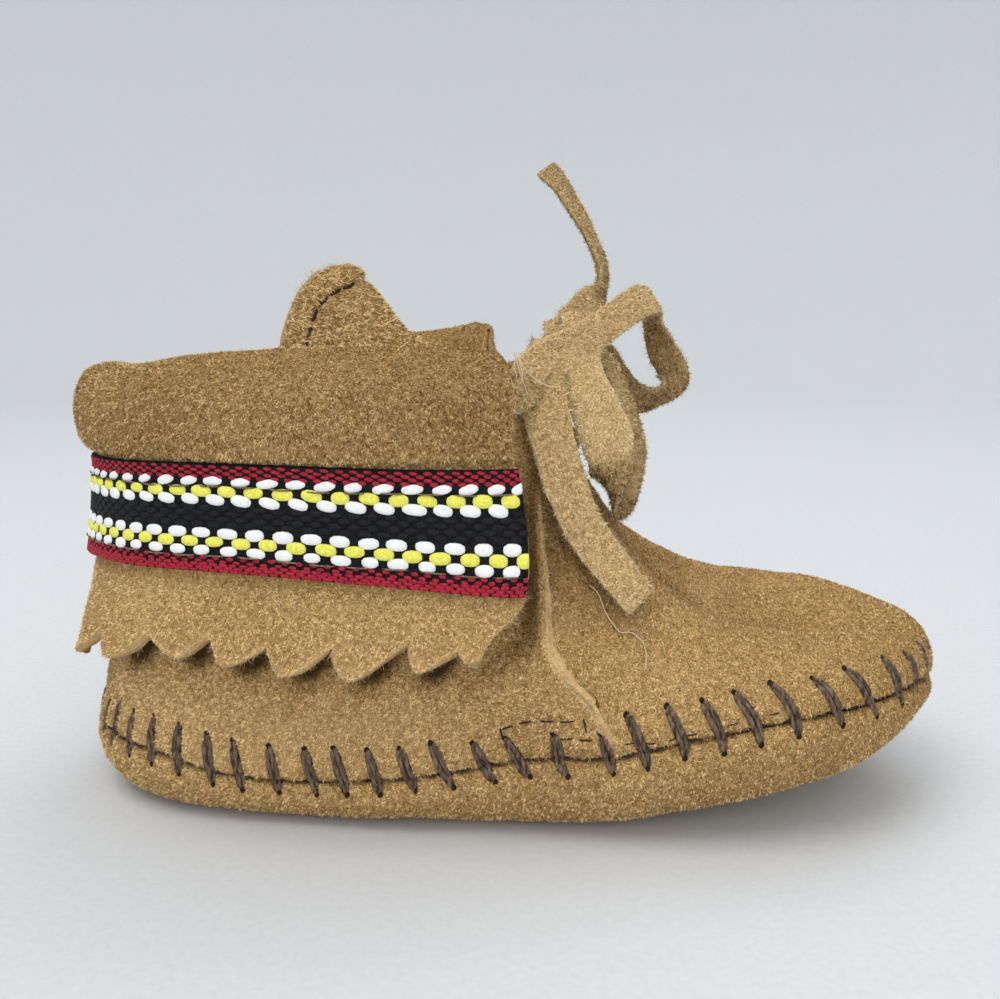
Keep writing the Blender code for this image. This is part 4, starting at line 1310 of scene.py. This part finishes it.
def shape_sole():
    run = np.broadcast_to(RUN, SOLE_HEIGHT.shape)
    side = len(SOLE_ROWS)
    fade = np.zeros(SOLE_HEIGHT.shape)
    fade[:, :side] = np.clip(1.0 - SOLE_ROWS, 0.0, 1.0) ** 0.5
    lumps = 0.45 * noise_at(SOLE.grid, 9.0, 5.0) + 0.2 * noise_at(SOLE.grid, 3.5, 1.0)
    depth = (seam_relief(run, SOLE_HEIGHT) + lumps) * fade
    SOLE.push(depth)
    for i, u in enumerate(COLUMNS):
        if abs(u) in (0.0, LAST_ROW):
            SOLE.grid[i, :, 1] = 0.0
    SOLE.grid[..., 2] = np.maximum(SOLE.grid[..., 2], 0.0)
    SOLE.settle()


shape_upper()
shape_sole()


def comb_side(places):
    """The nap of upper and sole lies back along the shoe and down, and swirls a little."""
    swirl = noise_at(places, 12.0, 4.0)
    return np.stack([np.full(len(places), -0.8), 0.2 * swirl, -0.45 + 1.2 * swirl], axis=1)


def nap_shows(places):
    """1 where the cuff leaves the upper in sight."""
    under_hem = places[:, 2] < 50.0 - 0.35 * np.abs(places[:, 0] - 5.0)
    return np.where(under_hem | (places[:, 0] > 1.5), 1.0, 0.0)


def off_stitches(heights):
    """Chance of a fibre at columns p and rows q: none grows through a whip stitch."""
    def chance(patch, p, q):
        away = whip_distance(np.interp(p, COLUMN_NUMBERS, COLUMN_RUN), patch.value(heights, p, q))
        return np.clip((away - 0.55) / 0.3, 0.0, 1.0)
    return chance


def build_upper():
    wear = np.zeros(UPPER_HEIGHT.shape)
    wear[LAP_COLUMNS] = 0.8
    near_edge = (np.abs(COLUMNS) > LAP_ROW - 0.12) & (np.abs(COLUMNS) < LAP_ROW - 0.01)
    wear[near_edge] = 0.30
    over_seam = np.clip((UPPER_HEIGHT - 1.0) / 3.0, 0.0, 1.0)
    wear *= over_seam * np.clip((50.0 - UPPER.grid[..., 2]) / 8.0, 0.0, 1.0)
    # Painted shade and painted light from SHADES, and a thin darker line along the seam
    wear = wear + along_lines(UPPER, SHADES) - 0.45 * np.exp(-(UPPER_HEIGHT / 0.35) ** 2)
    # Painted shadow under each tooth of the cuff's hem
    wear += along_lines(UPPER, notch_strokes(), (-1.0,))
    leather("upper_suede", UPPER, UPPER_WALL, SUEDE, "suede", ("upper",), wear)
    clear = off_stitches(UPPER_HEIGHT)

    def chance(places, p, q):
        # No fibre grows where the painted shade is deepest
        return clear(UPPER, p, q) * nap_shows(places) * (UPPER.value(wear, p, q) > NAP_GONE)

    coat("upper_nap", UPPER, chance, comb_side, "suede", 21, wear=wear)


def build_sole():
    # A thin darker line along the seam
    wear = -0.45 * np.exp(-(SOLE_HEIGHT / 0.35) ** 2)
    leather("sole_dish", SOLE, SOLE_WALL, SUEDE, "sole_suede", ("sole",), wear)
    side = len(SOLE_ROWS)
    clear = off_stitches(SOLE_HEIGHT)
    coat("sole_nap", SOLE, lambda places, p, q: clear(SOLE, p, q) * (q < side - 2), comb_side,
         "sole_suede", 31, wear=wear)


def seam_place(run, height, lift):
    """A point near the seam: over it on the upper, and under it on the sole."""
    p = float(np.interp(run, COLUMN_RUN, COLUMN_NUMBERS))
    patch, heights = (UPPER, UPPER_HEIGHT) if height >= 0.0 else (SOLE, -SOLE_HEIGHT)
    column = heights[int(round(p))]
    q = float(np.interp(abs(height), column, np.arange(len(column))))
    place, normal = patch.read(p, q)
    return place + normal * lift


def seam_out(run, height):
    """The way out of the leather at a point near the seam."""
    return seam_place(run, height, 1.0) - seam_place(run, height, 0.0)


def build_whips():
    """Whip stitches: two plies laid over the seam and drawn into a hole at each end."""
    plies, holes = [], []
    for k, (foot, top, under, over) in enumerate(WHIPS):
        run, height = np.linspace(foot, top, WHIP_POINTS), np.linspace(-under, over, WHIP_POINTS)
        share = np.linspace(0.0, 1.0, WHIP_POINTS)
        lift = 0.34 * np.sin(np.pi * share) ** 0.35 - 0.5 * ((share < 0.04) | (share > 0.96))
        spine = np.array([seam_place(r, h, v) for r, h, v in zip(run, height, lift)])
        spine[1:-1] = 0.5 * spine[1:-1] + 0.25 * (spine[:-2] + spine[2:])
        along = unit(np.gradient(spine, axis=0))
        out = np.array([seam_out(r, h) for r, h in zip(run, height)])
        across = unit(np.cross(along, out))
        out = np.cross(across, along)
        for ply in (0.0, math.pi):
            turn = ply + 0.4 * math.sin(1.7 * k) - 0.7 + share * 1.5
            offset = across * np.cos(turn)[:, None] * WHIP_PLY + out * np.sin(turn)[:, None] * (WHIP_PLY / 2)
            plies.append(spine + offset * np.sin(np.pi * np.clip(share, 0.06, 0.94))[:, None] ** 0.2)
        holes += [(foot, -under), (top, over)]
    points, faces = tubes(plies, WHIP_PLY, 7)
    new_piece("whip_stitches", points, faces, WHIP_THREAD, "thong_suede")
    build_holes("whip_holes", [seam_place(r, h, 0.0) for r, h in holes],
                [seam_out(r, h) for r, h in holes], WHIP_HOLE)


def build_holes(name, places, normals, radius):
    """Dark mouths of needle holes, laid just over the leather: painted shade in place of the holes."""
    points, faces = [], []
    for place, normal in zip(places, normals):
        normal = normal / np.linalg.norm(normal)
        across = unit(np.cross(normal, np.array([0.3, 0.1, 1.0])))
        other = np.cross(normal, across)
        start = len(points)
        points.append(place + normal * 0.16)
        for turn in np.linspace(0.0, 2.0 * math.pi, 10, endpoint=False):
            points.append(place + radius * (0.8 * across * math.cos(turn) + other * math.sin(turn))
                          + normal * 0.07)
        faces += [(start, start + 1 + i, start + 1 + (i + 1) % 10) for i in range(10)]
    new_piece(name, points, faces, HOLE, "thong_suede")


def dashes(name, line, lift, dash, gap, radius, thread, normals, slot="suede"):
    """A running stitch along a line of points: short threads that dip at both ends."""
    run = lengths(line)
    threads = []
    for start in np.arange(0.0, run[-1] - dash * 0.5, dash + gap):
        stops = np.linspace(start, min(start + dash, run[-1]), 6)
        at, out = [np.stack([np.interp(stops, run, table[:, k]) for k in range(3)], axis=1)
                   for table in (line, normals)]
        sink = np.array([-0.25, 0.7, 1.0, 1.0, 0.7, -0.25])[:, None] * lift
        threads.append(at + out * sink)
    points, faces = tubes(threads, radius, 5)
    return new_piece(name, points, faces, thread, slot)


def stitched(name, places, side, dash=1.8, gap=0.8, radius=0.13):
    """A machine-sewn line through places on the upper."""
    line, normal = UPPER.read(*UPPER.line(places, 0.3, side))
    dashes(name, line, 0.12, dash, gap, radius, DARK_THREAD, normal)


def build_seam_line():
    """The sewn line that closes sole and upper, under the whip stitches."""
    for side, label in SIDES:
        runs = np.arange(0.6, SEAM_END - 0.3, 0.4) * side
        wave = 0.25 * noise_at(np.stack([runs, runs * 0, runs * 0], axis=1), 4.0, 2.0)
        line = np.array([seam_place(r, 0.35 + h, 0.0) for r, h in zip(runs, wave)])
        normal = np.array([seam_out(r, 0.35 + h) for r, h in zip(runs, wave)])
        dashes(f"seam_line_{label}", line, 0.16, 2.3, 2.1, 0.17, DARK_THREAD, normal, "sole_suede")


BOX_STITCH = (
    ((1.1, 16.3), (6.1, 17.7), (11.5, 18.3)),
    ((11.5, 18.3), (11.9, 16.0)),
    ((12.7, 15.6), (9.9, 15.5), (8.1, 15.2)),
    ((1.1, 16.3), (1.4, 15.0)),
)
SECOND_LINE = ((16.8, 14.9), (19.4, 15.1), (22.9, 15.8), (26.4, 16.8), (28.6, 17.3), (33.1, 18.4),
               (36.4, 19.2))


def build_seams():
    build_whips()
    build_seam_line()
    for k, places in enumerate(BOX_STITCH):
        for side, label in SIDES:
            stitched(f"tack_{label}_{k + 1}", places, side)
    for side, label in SIDES:
        stitched(f"second_line_{label}", SECOND_LINE, side, dash=1.3, gap=1.5, radius=0.10)


def build_lap_hairs():
    """Pale fibres along the cut front edge of each quarter."""
    dice = np.random.default_rng(51)
    for side, label in SIDES:
        column = float(np.interp(side * LAP_ROW, COLUMNS, COLUMN_NUMBERS))
        q = dice.uniform(1.0, UPPER.grid.shape[1] * 0.72, 900)
        edge_hairs(f"lap_hairs_{label}", UPPER, np.full(len(q), column), q, 0.9, (0.8, 0.0, -0.2), 0.5, dice,
                   52, 0.8, 0.08)


build_upper()
build_sole()
build_seams()
build_lap_hairs()


# ================================================================ cuff

HEM_SUBSTEPS = 8
CUFF_POINTS = 57                 # on a rib of the cuff
CUFF_ROWS = np.linspace(0.0, CUFF_LAST, CUFF_POINTS)
FLAP_POINT = 40                  # first point of a rib that the flap is read from
MIDDLE_POINT = 36                # point of a rib that gives it its way out at the heel
CUFF_TABLE = Patch([[cuff_point(a, s) for s in CUFF_ROWS] for a in np.linspace(0.0, 1.0, 81)])


def hem_stops(side):
    """Share round the cuff and height of each tip and notch of the hem, back to front."""
    hem = CUFF_TABLE.grid[:, -1]
    stops = [(0.0, 26.0)]
    for x, z in HEM_NEAR:
        x = x + (0.0 if side < 0.0 else 1.3 * math.sin(0.35 * x))
        share = float(np.interp(x, hem[:, 0], np.linspace(0.0, 1.0, len(hem))))
        stops.append((share, z if side < 0.0 else z + 0.8 * math.sin(0.9 * x)))
    stops[1] = (0.045, stops[1][1])
    stops[-2] = (0.955, stops[-2][1])
    stops[-1] = (0.992, stops[-1][1])
    stops.append((1.0, stops[-1][1] + 0.4))
    return stops


def hem_columns(side):
    """Shares round the cuff and the hem's height at each: rounded tips and sharp notches."""
    stops = hem_stops(side)
    shares, heights = [], []
    for k in range(len(stops) - 1):
        (a, low), (b, high) = stops[k], stops[k + 1]
        tip_first = low < high
        for i in range(HEM_SUBSTEPS):
            t = i / HEM_SUBSTEPS
            near_tip = t if tip_first else 1.0 - t
            curve = 0.15 * near_tip + 0.85 * (1.0 - math.cos(math.pi * near_tip / 2.0))
            tip, notch = (low, high) if tip_first else (high, low)
            shares.append(a + (b - a) * t)
            heights.append(tip + (notch - tip) * curve)
    return shares + [1.0], heights + [stops[-1][1]]


# How far the roll is drawn up or down from the solid's, by share round each side
RIM_NEAR = ((0.0, 0.0), (0.05, 0.2), (0.11, 0.5), (0.18, 0.2), (0.3, -0.3), (0.45, 0.2), (0.6, 1.0),
            (0.8, 1.3), (0.93, 1.0), (1.0, 0.5))
RIM_FAR = ((0.0, -0.8), (0.06, -1.8), (0.2, -2.4), (0.38, -2.2), (0.5, -1.0), (0.65, 0.2), (0.8, 1.0),
           (0.95, 2.2), (1.0, 2.0))


# How far the near front edge lies ahead of the solid's, by row of CUFF_SECTIONS
FRONT_EASE = ((0.0, 0.0), (6.0, 0.0), (7.8, 0.1), (8.6, 0.9), (9.6, 1.6), (10.5, 1.3), (11.1, 0.3),
              (12.5, 0.6), (14.0, 0.5))

# How far the back stands out and up from the solid's, by row of CUFF_SECTIONS: its roll is nearly square
HEEL_SQUARE = (
    (0.0, 0.0, 0.0), (1.8, 0.0, 0.0), (3.0, 1.5, 0.4), (4.0, 2.2, 1.0), (5.0, 0.7, 0.4), (6.0, 0.3, -0.8),
    (7.0, 1.0, -0.8), (8.0, 1.1, 0.0), (9.5, 1.2, 0.0), (11.0, 1.4, 0.0), (12.5, 0.9, 0.0), (14.0, 0.2, 0.0),
)


def front_reach(share):
    """0 up to 0.84 of the way round the cuff, and 1 at its front edge."""
    return np.clip((share - 0.84) / 0.16, 0.0, 1.0)


def front_ease(share, rows):
    """How far each row is drawn ahead towards the near front edge."""
    return front_reach(share) ** 2 * read_table(FRONT_EASE, rows)[0]


def far_close(share, rows):
    """The far front end of the roll is pressed flat and lies a little further back."""
    reach = front_reach(share) ** 1.6 * np.clip((8.0 - rows) / 2.0, 0.0, 1.0)
    outer = np.clip((rows - 2.0) / 2.5, 0.0, 1.0)
    return np.stack([-(1.4 + 2.6 * outer) * reach, -5.6 * reach * outer, 0.8 * reach * outer], axis=1)


def heel_square(point, share, rows):
    """Moves of a rib's rows at a share round the cuff, from HEEL_SQUARE. point is one of its points."""
    out = unit(np.array([point[0] + 35.0, point[1], 0.0]))
    fade = max(0.0, 1.0 - share / 0.34) ** 1.5
    back, up = read_table(HEEL_SQUARE, rows)
    moves = back[:, None] * out
    moves[:, 2] += up
    return moves * fade


def rim_lift(side, share):
    """How far the roll is drawn up on this side."""
    return float(read_table(RIM_NEAR if side < 0.0 else RIM_FAR, share)[0])


def hem_rib(share, height):
    """The solid's rib at a share round the cuff, its flap drawn to end at this height of the hem."""
    at = np.full(len(CUFF_ROWS), share * (CUFF_TABLE.grid.shape[0] - 1))
    rib = CUFF_TABLE.place(at, CUFF_ROWS / CUFF_LAST * (CUFF_POINTS - 1.0))
    flap = CUFF_ROWS > FLAP_ROW
    level = rib[flap, 2]
    target = level[0] + (height - level[0]) * (level - level[0]) / (level[-1] - level[0])
    source = CUFF_TABLE.place(at, np.arange(float(CUFF_POINTS)))[FLAP_POINT:]
    order = np.argsort(source[:, 2])
    for k in range(2):
        rib[flap, k] = np.interp(target, source[:, 2][order], source[:, k][order])
    below = np.clip(source[-1, 2] - target, 0.0, 9.0)
    rib[flap, 2] = target
    out = rib[-1] - np.array([rib[-1, 0] * 0.9, 0.0, rib[-1, 2]])
    rib[flap] += unit(out) * (0.12 * below)[:, None]
    return rib


def raw_cuff():
    """The cuff's outer face all round, from its inner leg over the roll and down to the hem."""
    sides = []
    for side in (-1.0, 1.0):
        grid = []
        for share, height in zip(*hem_columns(side)):
            rib = hem_rib(share, height)
            belly = 1.1 * math.sin(math.pi * min(share * 1.1, 1.0))
            rib[:, 1] += belly * np.clip((CUFF_ROWS - 10.5) / 3.5, 0.0, 1.0) ** 1.5
            rib[:, 2] += rim_lift(side, share) * np.exp(-((CUFF_ROWS - 3.2) / 2.3) ** 4)
            rib += heel_square(rib[MIDDLE_POINT], share, CUFF_ROWS)
            if side < 0.0:
                rib[:, 0] += front_ease(share, CUFF_ROWS)
            else:
                rib += far_close(share, CUFF_ROWS)
            rib[:, 1] *= side
            grid.append(rib)
        sides.append(np.array(grid))
    return np.concatenate([sides[0][:0:-1], sides[1]])


def shape_cuff(grid):
    patch = Patch(grid, -1.0)
    rows = CUFF_ROWS[None, :]
    lumps = 0.55 * noise_at(grid, 14.0, 6.0) + 0.20 * noise_at(grid, 5.0, 2.0)
    roll = np.exp(-((rows - 5.2) / 2.0) ** 2)
    flap = np.clip((rows - FLAP_ROW) / 3.0, 0.0, 1.0)
    curl = noise_at(grid * np.array([1.0, 1.0, 0.2]), 5.0, 9.0)
    under_band = (rows > 7.6) & (rows < 11.2)
    depth = lumps * np.where(under_band, 0.15, 1.0) * (0.4 + 0.8 * roll) + flap ** 2 * (0.9 * curl + 0.5)
    depth[:, -1] += 0.25
    patch.push(depth)
    return patch


CUFF = shape_cuff(raw_cuff())


def comb_roll(places):
    """The nap of the cuff hangs down."""
    swirl = noise_at(places, 9.0, 1.0)
    return np.stack([0.5 * swirl, 0.3 * swirl, np.full(len(places), -1.0)], axis=1)


def build_cuff():
    rows = CUFF_ROWS[None, :]
    columns = CUFF.grid.shape[0]
    wear = -0.22 * np.exp(-((rows - 5.0) / 2.6) ** 4) + 0.05 * (rows > 11.2)
    wear = wear + 0.10 * noise_at(CUFF.grid, 16.0, 3.0)
    wear[:, -1] = 0.30
    wear[[0, -1]] = 0.45
    leather("cuff_suede", CUFF, CUFF_WALL, SUEDE, "suede", ("cuff",), wear)
    coat("cuff_nap", CUFF, lambda places, p, q: ((q > 8) & ((q < 31.5) | (q > 44.5))) * 1.0, comb_roll,
         "suede", 61, 19.0, wear=wear)
    dice = np.random.default_rng(63)
    p = dice.random(2600) * (columns - 1)
    edge_hairs("hem_hairs", CUFF, p, np.full(len(p), 55.9), 1.1, (0.0, 0.0, -1.0), 0.35, dice, 64, 0.55)
    q = np.concatenate([dice.uniform(16.0, 31.0, 240), dice.uniform(44.0, 56.0, 200)])
    for end, label in ((0.05, "near"), (columns - 1.05, "far")):
        edge_hairs(f"cuff_edge_hairs_{label}", CUFF, np.full(len(q), end), q, 1.2, (1.0, 0.0, -0.2), 0.3,
                   dice, 65, 0.5)


build_cuff()


# ================================================================ woven band

BAND_WIDE = 14.4                # mm from its top edge to its bottom edge
BAND_POINTS = 9                 # across it

# Floats of the weave: yarn, mm from the top edge, half length, half width, repeat, shift and slant in degrees
FLOATS = (
    ("red", 0.42, 0.52, 0.27, 1.75, 0.00, -6.0),
    ("red", 0.92, 0.52, 0.28, 1.75, 0.50, -6.0),
    ("red", 1.43, 0.52, 0.28, 1.75, 0.00, -6.0),
    ("red", 1.94, 0.52, 0.28, 1.75, 0.50, -6.0),
    ("white", 2.52, 1.25, 0.57, 3.50, 0.00, 9.0),
    ("yellow", 3.80, 1.28, 0.74, 3.50, 0.47, -3.0),
    ("white", 4.88, 1.34, 0.72, 3.50, 0.94, -9.0),
    ("black", 5.95, 0.86, 0.42, 2.33, 0.00, 0.0),
    ("black", 6.65, 0.86, 0.42, 2.33, 0.50, 0.0),
    ("black", 7.35, 0.86, 0.42, 2.33, 0.00, 0.0),
    ("black", 8.05, 0.86, 0.42, 2.33, 0.50, 0.0),
    ("white", 9.20, 1.30, 0.72, 3.50, 0.53, 3.0),
    ("yellow", 10.36, 1.24, 0.76, 3.50, 0.03, 3.0),
    ("white", 11.46, 1.20, 0.68, 3.50, 0.53, 5.0),
    ("red", 12.36, 0.44, 0.25, 1.75, 0.00, 0.0),
    ("red", 12.86, 0.46, 0.26, 1.75, 0.50, 0.0),
    ("red", 13.32, 0.58, 0.28, 1.30, 0.00, 0.0),
    ("red", 13.76, 0.60, 0.28, 1.30, 0.50, 0.0),
    ("red", 14.16, 0.62, 0.26, 1.30, 0.00, 0.0),
)
YARNS = {"red": RED_YARN, "white": WHITE_YARN, "yellow": YELLOW_YARN, "black": BLACK_YARN}


# How far the near side of the band's top and bottom edges are drawn up, by share round that side
BAND_RISE = ((0.0, 0.0, 0.5), (0.1, 0.2, 1.2), (0.21, 0.4, 1.5), (0.49, 0.56, 1.35), (0.81, 0.45, 0.7),
             (1.0, 0.35, -0.3))


def raw_band():
    """The band's outer face, from the near front edge round the back to the far one."""
    rows = np.linspace(*BAND_ROWS, BAND_POINTS)
    shares = np.linspace(-1.0 + BAND_END_INSET, 1.0 - BAND_END_INSET, 171)
    grid = np.empty((len(shares), BAND_POINTS, 3))
    for i, share in enumerate(shares):
        for j, s in enumerate(rows):
            grid[i, j] = cuff_point(abs(share), s, GAP + BAND_WALL)
        grid[i] += heel_square(grid[i, BAND_POINTS // 2], abs(share), rows)
        if share < 0.0:
            grid[i, :, 1] *= -1.0
            grid[i, :, 0] += front_ease(-share, rows) + 0.15
            top, bottom = read_table(BAND_RISE, -share)
            grid[i, :, 2] += np.linspace(top, bottom, BAND_POINTS)
    return grid


BAND = Patch(raw_band(), -1.0)
BAND_RUN = lengths(BAND.grid[:, BAND_POINTS // 2])


def band_places(run, down, lift):
    """Points of the band at lengths along it and down from its top edge, in millimetres."""
    p = np.interp(run, BAND_RUN, np.arange(len(BAND_RUN)))
    place, normal = BAND.read(p, np.asarray(down) / BAND_WIDE * (BAND_POINTS - 1.0))
    return place + normal * np.asarray(lift)[..., None]


def pillow():
    """A small cushion of yarn: points as share along, share across and height, and its faces."""
    points, faces, sides = [(0.0, 0.0, 1.0)], [], 12
    for radius, height in ((0.5, 0.90), (0.85, 0.55), (1.0, -0.25)):
        for turn in np.linspace(0.0, 2.0 * math.pi, sides, endpoint=False):
            square = (abs(math.cos(turn)) ** 2.6 + abs(math.sin(turn)) ** 2.6) ** (-1.0 / 2.6)
            points.append((radius * square * math.cos(turn), radius * square * math.sin(turn), height))
    faces += [(0, 1 + i, 1 + (i + 1) % sides) for i in range(sides)]
    for ring in (1, 1 + sides):
        faces += [(ring + i, ring + sides + i, ring + sides + (i + 1) % sides, ring + (i + 1) % sides)
                  for i in range(sides)]
    return np.array(points), faces


def build_floats():
    """The weave's raised yarns, one piece for each colour."""
    dice = np.random.default_rng(71)
    template, template_faces = pillow()
    total = BAND_RUN[-1]
    for yarn, finish_used in YARNS.items():
        points, faces, count = [], [], 0
        for colour, down, long, wide, repeat, shift, slant in FLOATS:
            if colour != yarn:
                continue
            for centre in np.arange(shift * repeat + 0.2, total, repeat):
                angle = math.radians(slant + dice.normal(0.0, 3.0))
                a, b = long * dice.normal(1.0, 0.05), wide * dice.normal(1.0, 0.05)
                x, y = template[:, 0] * a, template[:, 1] * b
                run = centre + dice.normal(0.0, 0.06) + x * math.cos(angle) - y * math.sin(angle)
                drop = down + dice.normal(0.0, 0.03) + x * math.sin(angle) + y * math.cos(angle)
                run = np.clip(run, 0.0, total)
                points.append(band_places(run, np.clip(drop, 0.0, BAND_WIDE),
                                          template[:, 2] * 0.42 * b + 0.04))
                faces += [tuple(i + count for i in face) for face in template_faces]
                count += len(template)
        new_piece(f"yarn_{yarn}", np.vstack(points), faces, finish_used, "woven_trim")


def band_ground_finish():
    """The black ground: fine ribs across the band."""
    mat, tree, shader = finish("band_ground", (0.006, 0.006, 0.007), 0.75, 0.0, specular=0.15)
    rib = noise_node(tree, object_coords(tree), 1900.0, 1.0, 0.0)
    colour_by(tree, shader, rib, (0.3, (0.002, 0.002, 0.002)), (0.7, (0.010, 0.010, 0.012)))
    bump(tree, shader, rib, 0.7, 0.0002)
    return mat


def build_band():
    leather("band_ground", BAND, BAND_GROUND_WALL, band_ground_finish(), "woven_trim", ("woven_band",),
            np.zeros(BAND.grid.shape[:2]))
    build_floats()
    for down, label in ((3.05, "upper"), (12.02, "lower")):
        runs = np.arange(1.0, BAND_RUN[-1] - 1.0, 0.5)
        wave = down + 0.10 * np.sin(runs * 0.31) + 0.12 * np.sin(runs * 0.043)
        line = band_places(runs, wave, np.zeros(len(runs)))
        normal = band_places(runs, wave, np.ones(len(runs))) - line
        dashes(f"band_sewing_{label}", line, 0.34, 3.4, 1.1, 0.11, TAN_THREAD, normal, "woven_trim")


build_band()


# ================================================================ tongue and insole

TONGUE_LAST = len(TONGUE_SECTIONS) - 1
TONGUE_HEM_WIDE = 3.3           # mm from the tongue's cut edge to its hem's stitches


def raw_tongue():
    """The tongue's front face, from its foot to its tip. The near half lies back a little low down."""
    rows = np.linspace(0.0, TONGUE_LAST, 81)
    shares = np.linspace(-1.0, 1.0, 61)
    grid = np.empty((len(shares), len(rows), 3))
    for i, share in enumerate(shares):
        for j, s in enumerate(rows):
            grid[i, j] = tongue_point(s, abs(share))
        if share < 0.0:
            grid[i, :, 1] *= -1.0
            z = grid[i, :, 2]
            low = np.clip((72.0 - z) / 9.0, 0.0, 1.0) * np.clip((z - 54.0) / 4.0, 0.0, 1.0)
            grid[i, :, 0] -= 1.7 * low * (-share) ** 1.5
    return grid


def hem_distance(grid):
    """How far each point of the tongue is from its cut edge, along its sides and round its tip."""
    edge = np.concatenate([grid[0], grid[:, -1], grid[-1]])
    return np.array([[np.min(np.linalg.norm(edge - point, axis=1)) for point in rib] for rib in grid])


def comb_tongue(places):
    """The coarse nap of the tongue lies forwards and down."""
    way = np.tile((1.0, 0.0, -0.5), (len(places), 1))
    way[:, 1] = 0.3 * noise_at(places, 6.0, 2.0)
    return way


def build_tongue():
    grid = raw_tongue()
    patch = Patch(grid, -1.0)
    away = hem_distance(grid)
    high = np.clip((grid[..., 2] - 60.0) / 6.0, 0.0, 1.0)
    hem = high * (0.65 / (1.0 + np.exp((away - 3.1) / 0.18)) - 0.25 * np.exp(-((away - 3.4) / 0.4) ** 2))
    lumps = 0.5 * noise_at(grid, 8.0, 5.0) + 0.15 * noise_at(grid, 3.0, 2.0)
    narrow = np.clip((TONGUE_LAST - np.linspace(0.0, TONGUE_LAST, grid.shape[1])) / 1.6, 0.0, 1.0)[None, :]
    patch.push((hem + lumps * (0.5 + 0.5 * high)) * narrow)
    leather("tongue_suede", patch, TONGUE_WALL, SUEDE, "suede", ("tongue",), np.where(away < 0.3, 0.4, 0.0))

    def chance(places, p, q):
        return (places[:, 2] > 56.0) * (np.abs(patch.value(away, p, q) - TONGUE_HEM_WIDE) > 0.25)

    coat("tongue_nap", patch, chance, comb_tongue, "suede", 81, length=0.7, width=0.20)
    for side, label in SIDES:
        p, q = tongue_hem_line(patch, away, side)
        line, normal = patch.read(p, q)
        dashes(f"tongue_hem_{label}", line, 0.22, 2.0, 0.35, 0.24, DARK_THREAD, normal)
    dice = np.random.default_rng(83)
    q = dice.uniform(40.0, 80.0, 500)
    p = np.where(dice.random(500) < 0.5, 0.2, len(grid) - 1.2)
    place = patch.place(p, q)
    ways = np.stack([np.full(500, -0.3), np.sign(place[:, 1]), np.full(500, 0.6)], axis=1)
    hairs("tongue_edge_hairs", place, ways, PALE_FIBRE, "suede", 84, 0.6, 0.06)


def tongue_hem_line(patch, away, side):
    """The line of the hem's stitches, TONGUE_HEM_WIDE in from the edge, up one side to the tip."""
    columns, rows = away.shape
    half = columns // 2
    ps, qs = [], []
    for j in range(int(rows * 0.5), rows - 1):
        column = away[:half + 1, j] if side < 0.0 else away[half:, j][::-1]
        if column[-1] < TONGUE_HEM_WIDE:
            break
        at = float(np.interp(TONGUE_HEM_WIDE, column, np.arange(len(column))))
        ps.append(at if side < 0.0 else columns - 1 - at)
        qs.append(float(j))
    return np.array(ps), np.array(qs)


def dress_insole():
    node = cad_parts["insole"]
    for slot in node.material_slots:
        slot.material = FELT


build_tongue()
dress_insole()
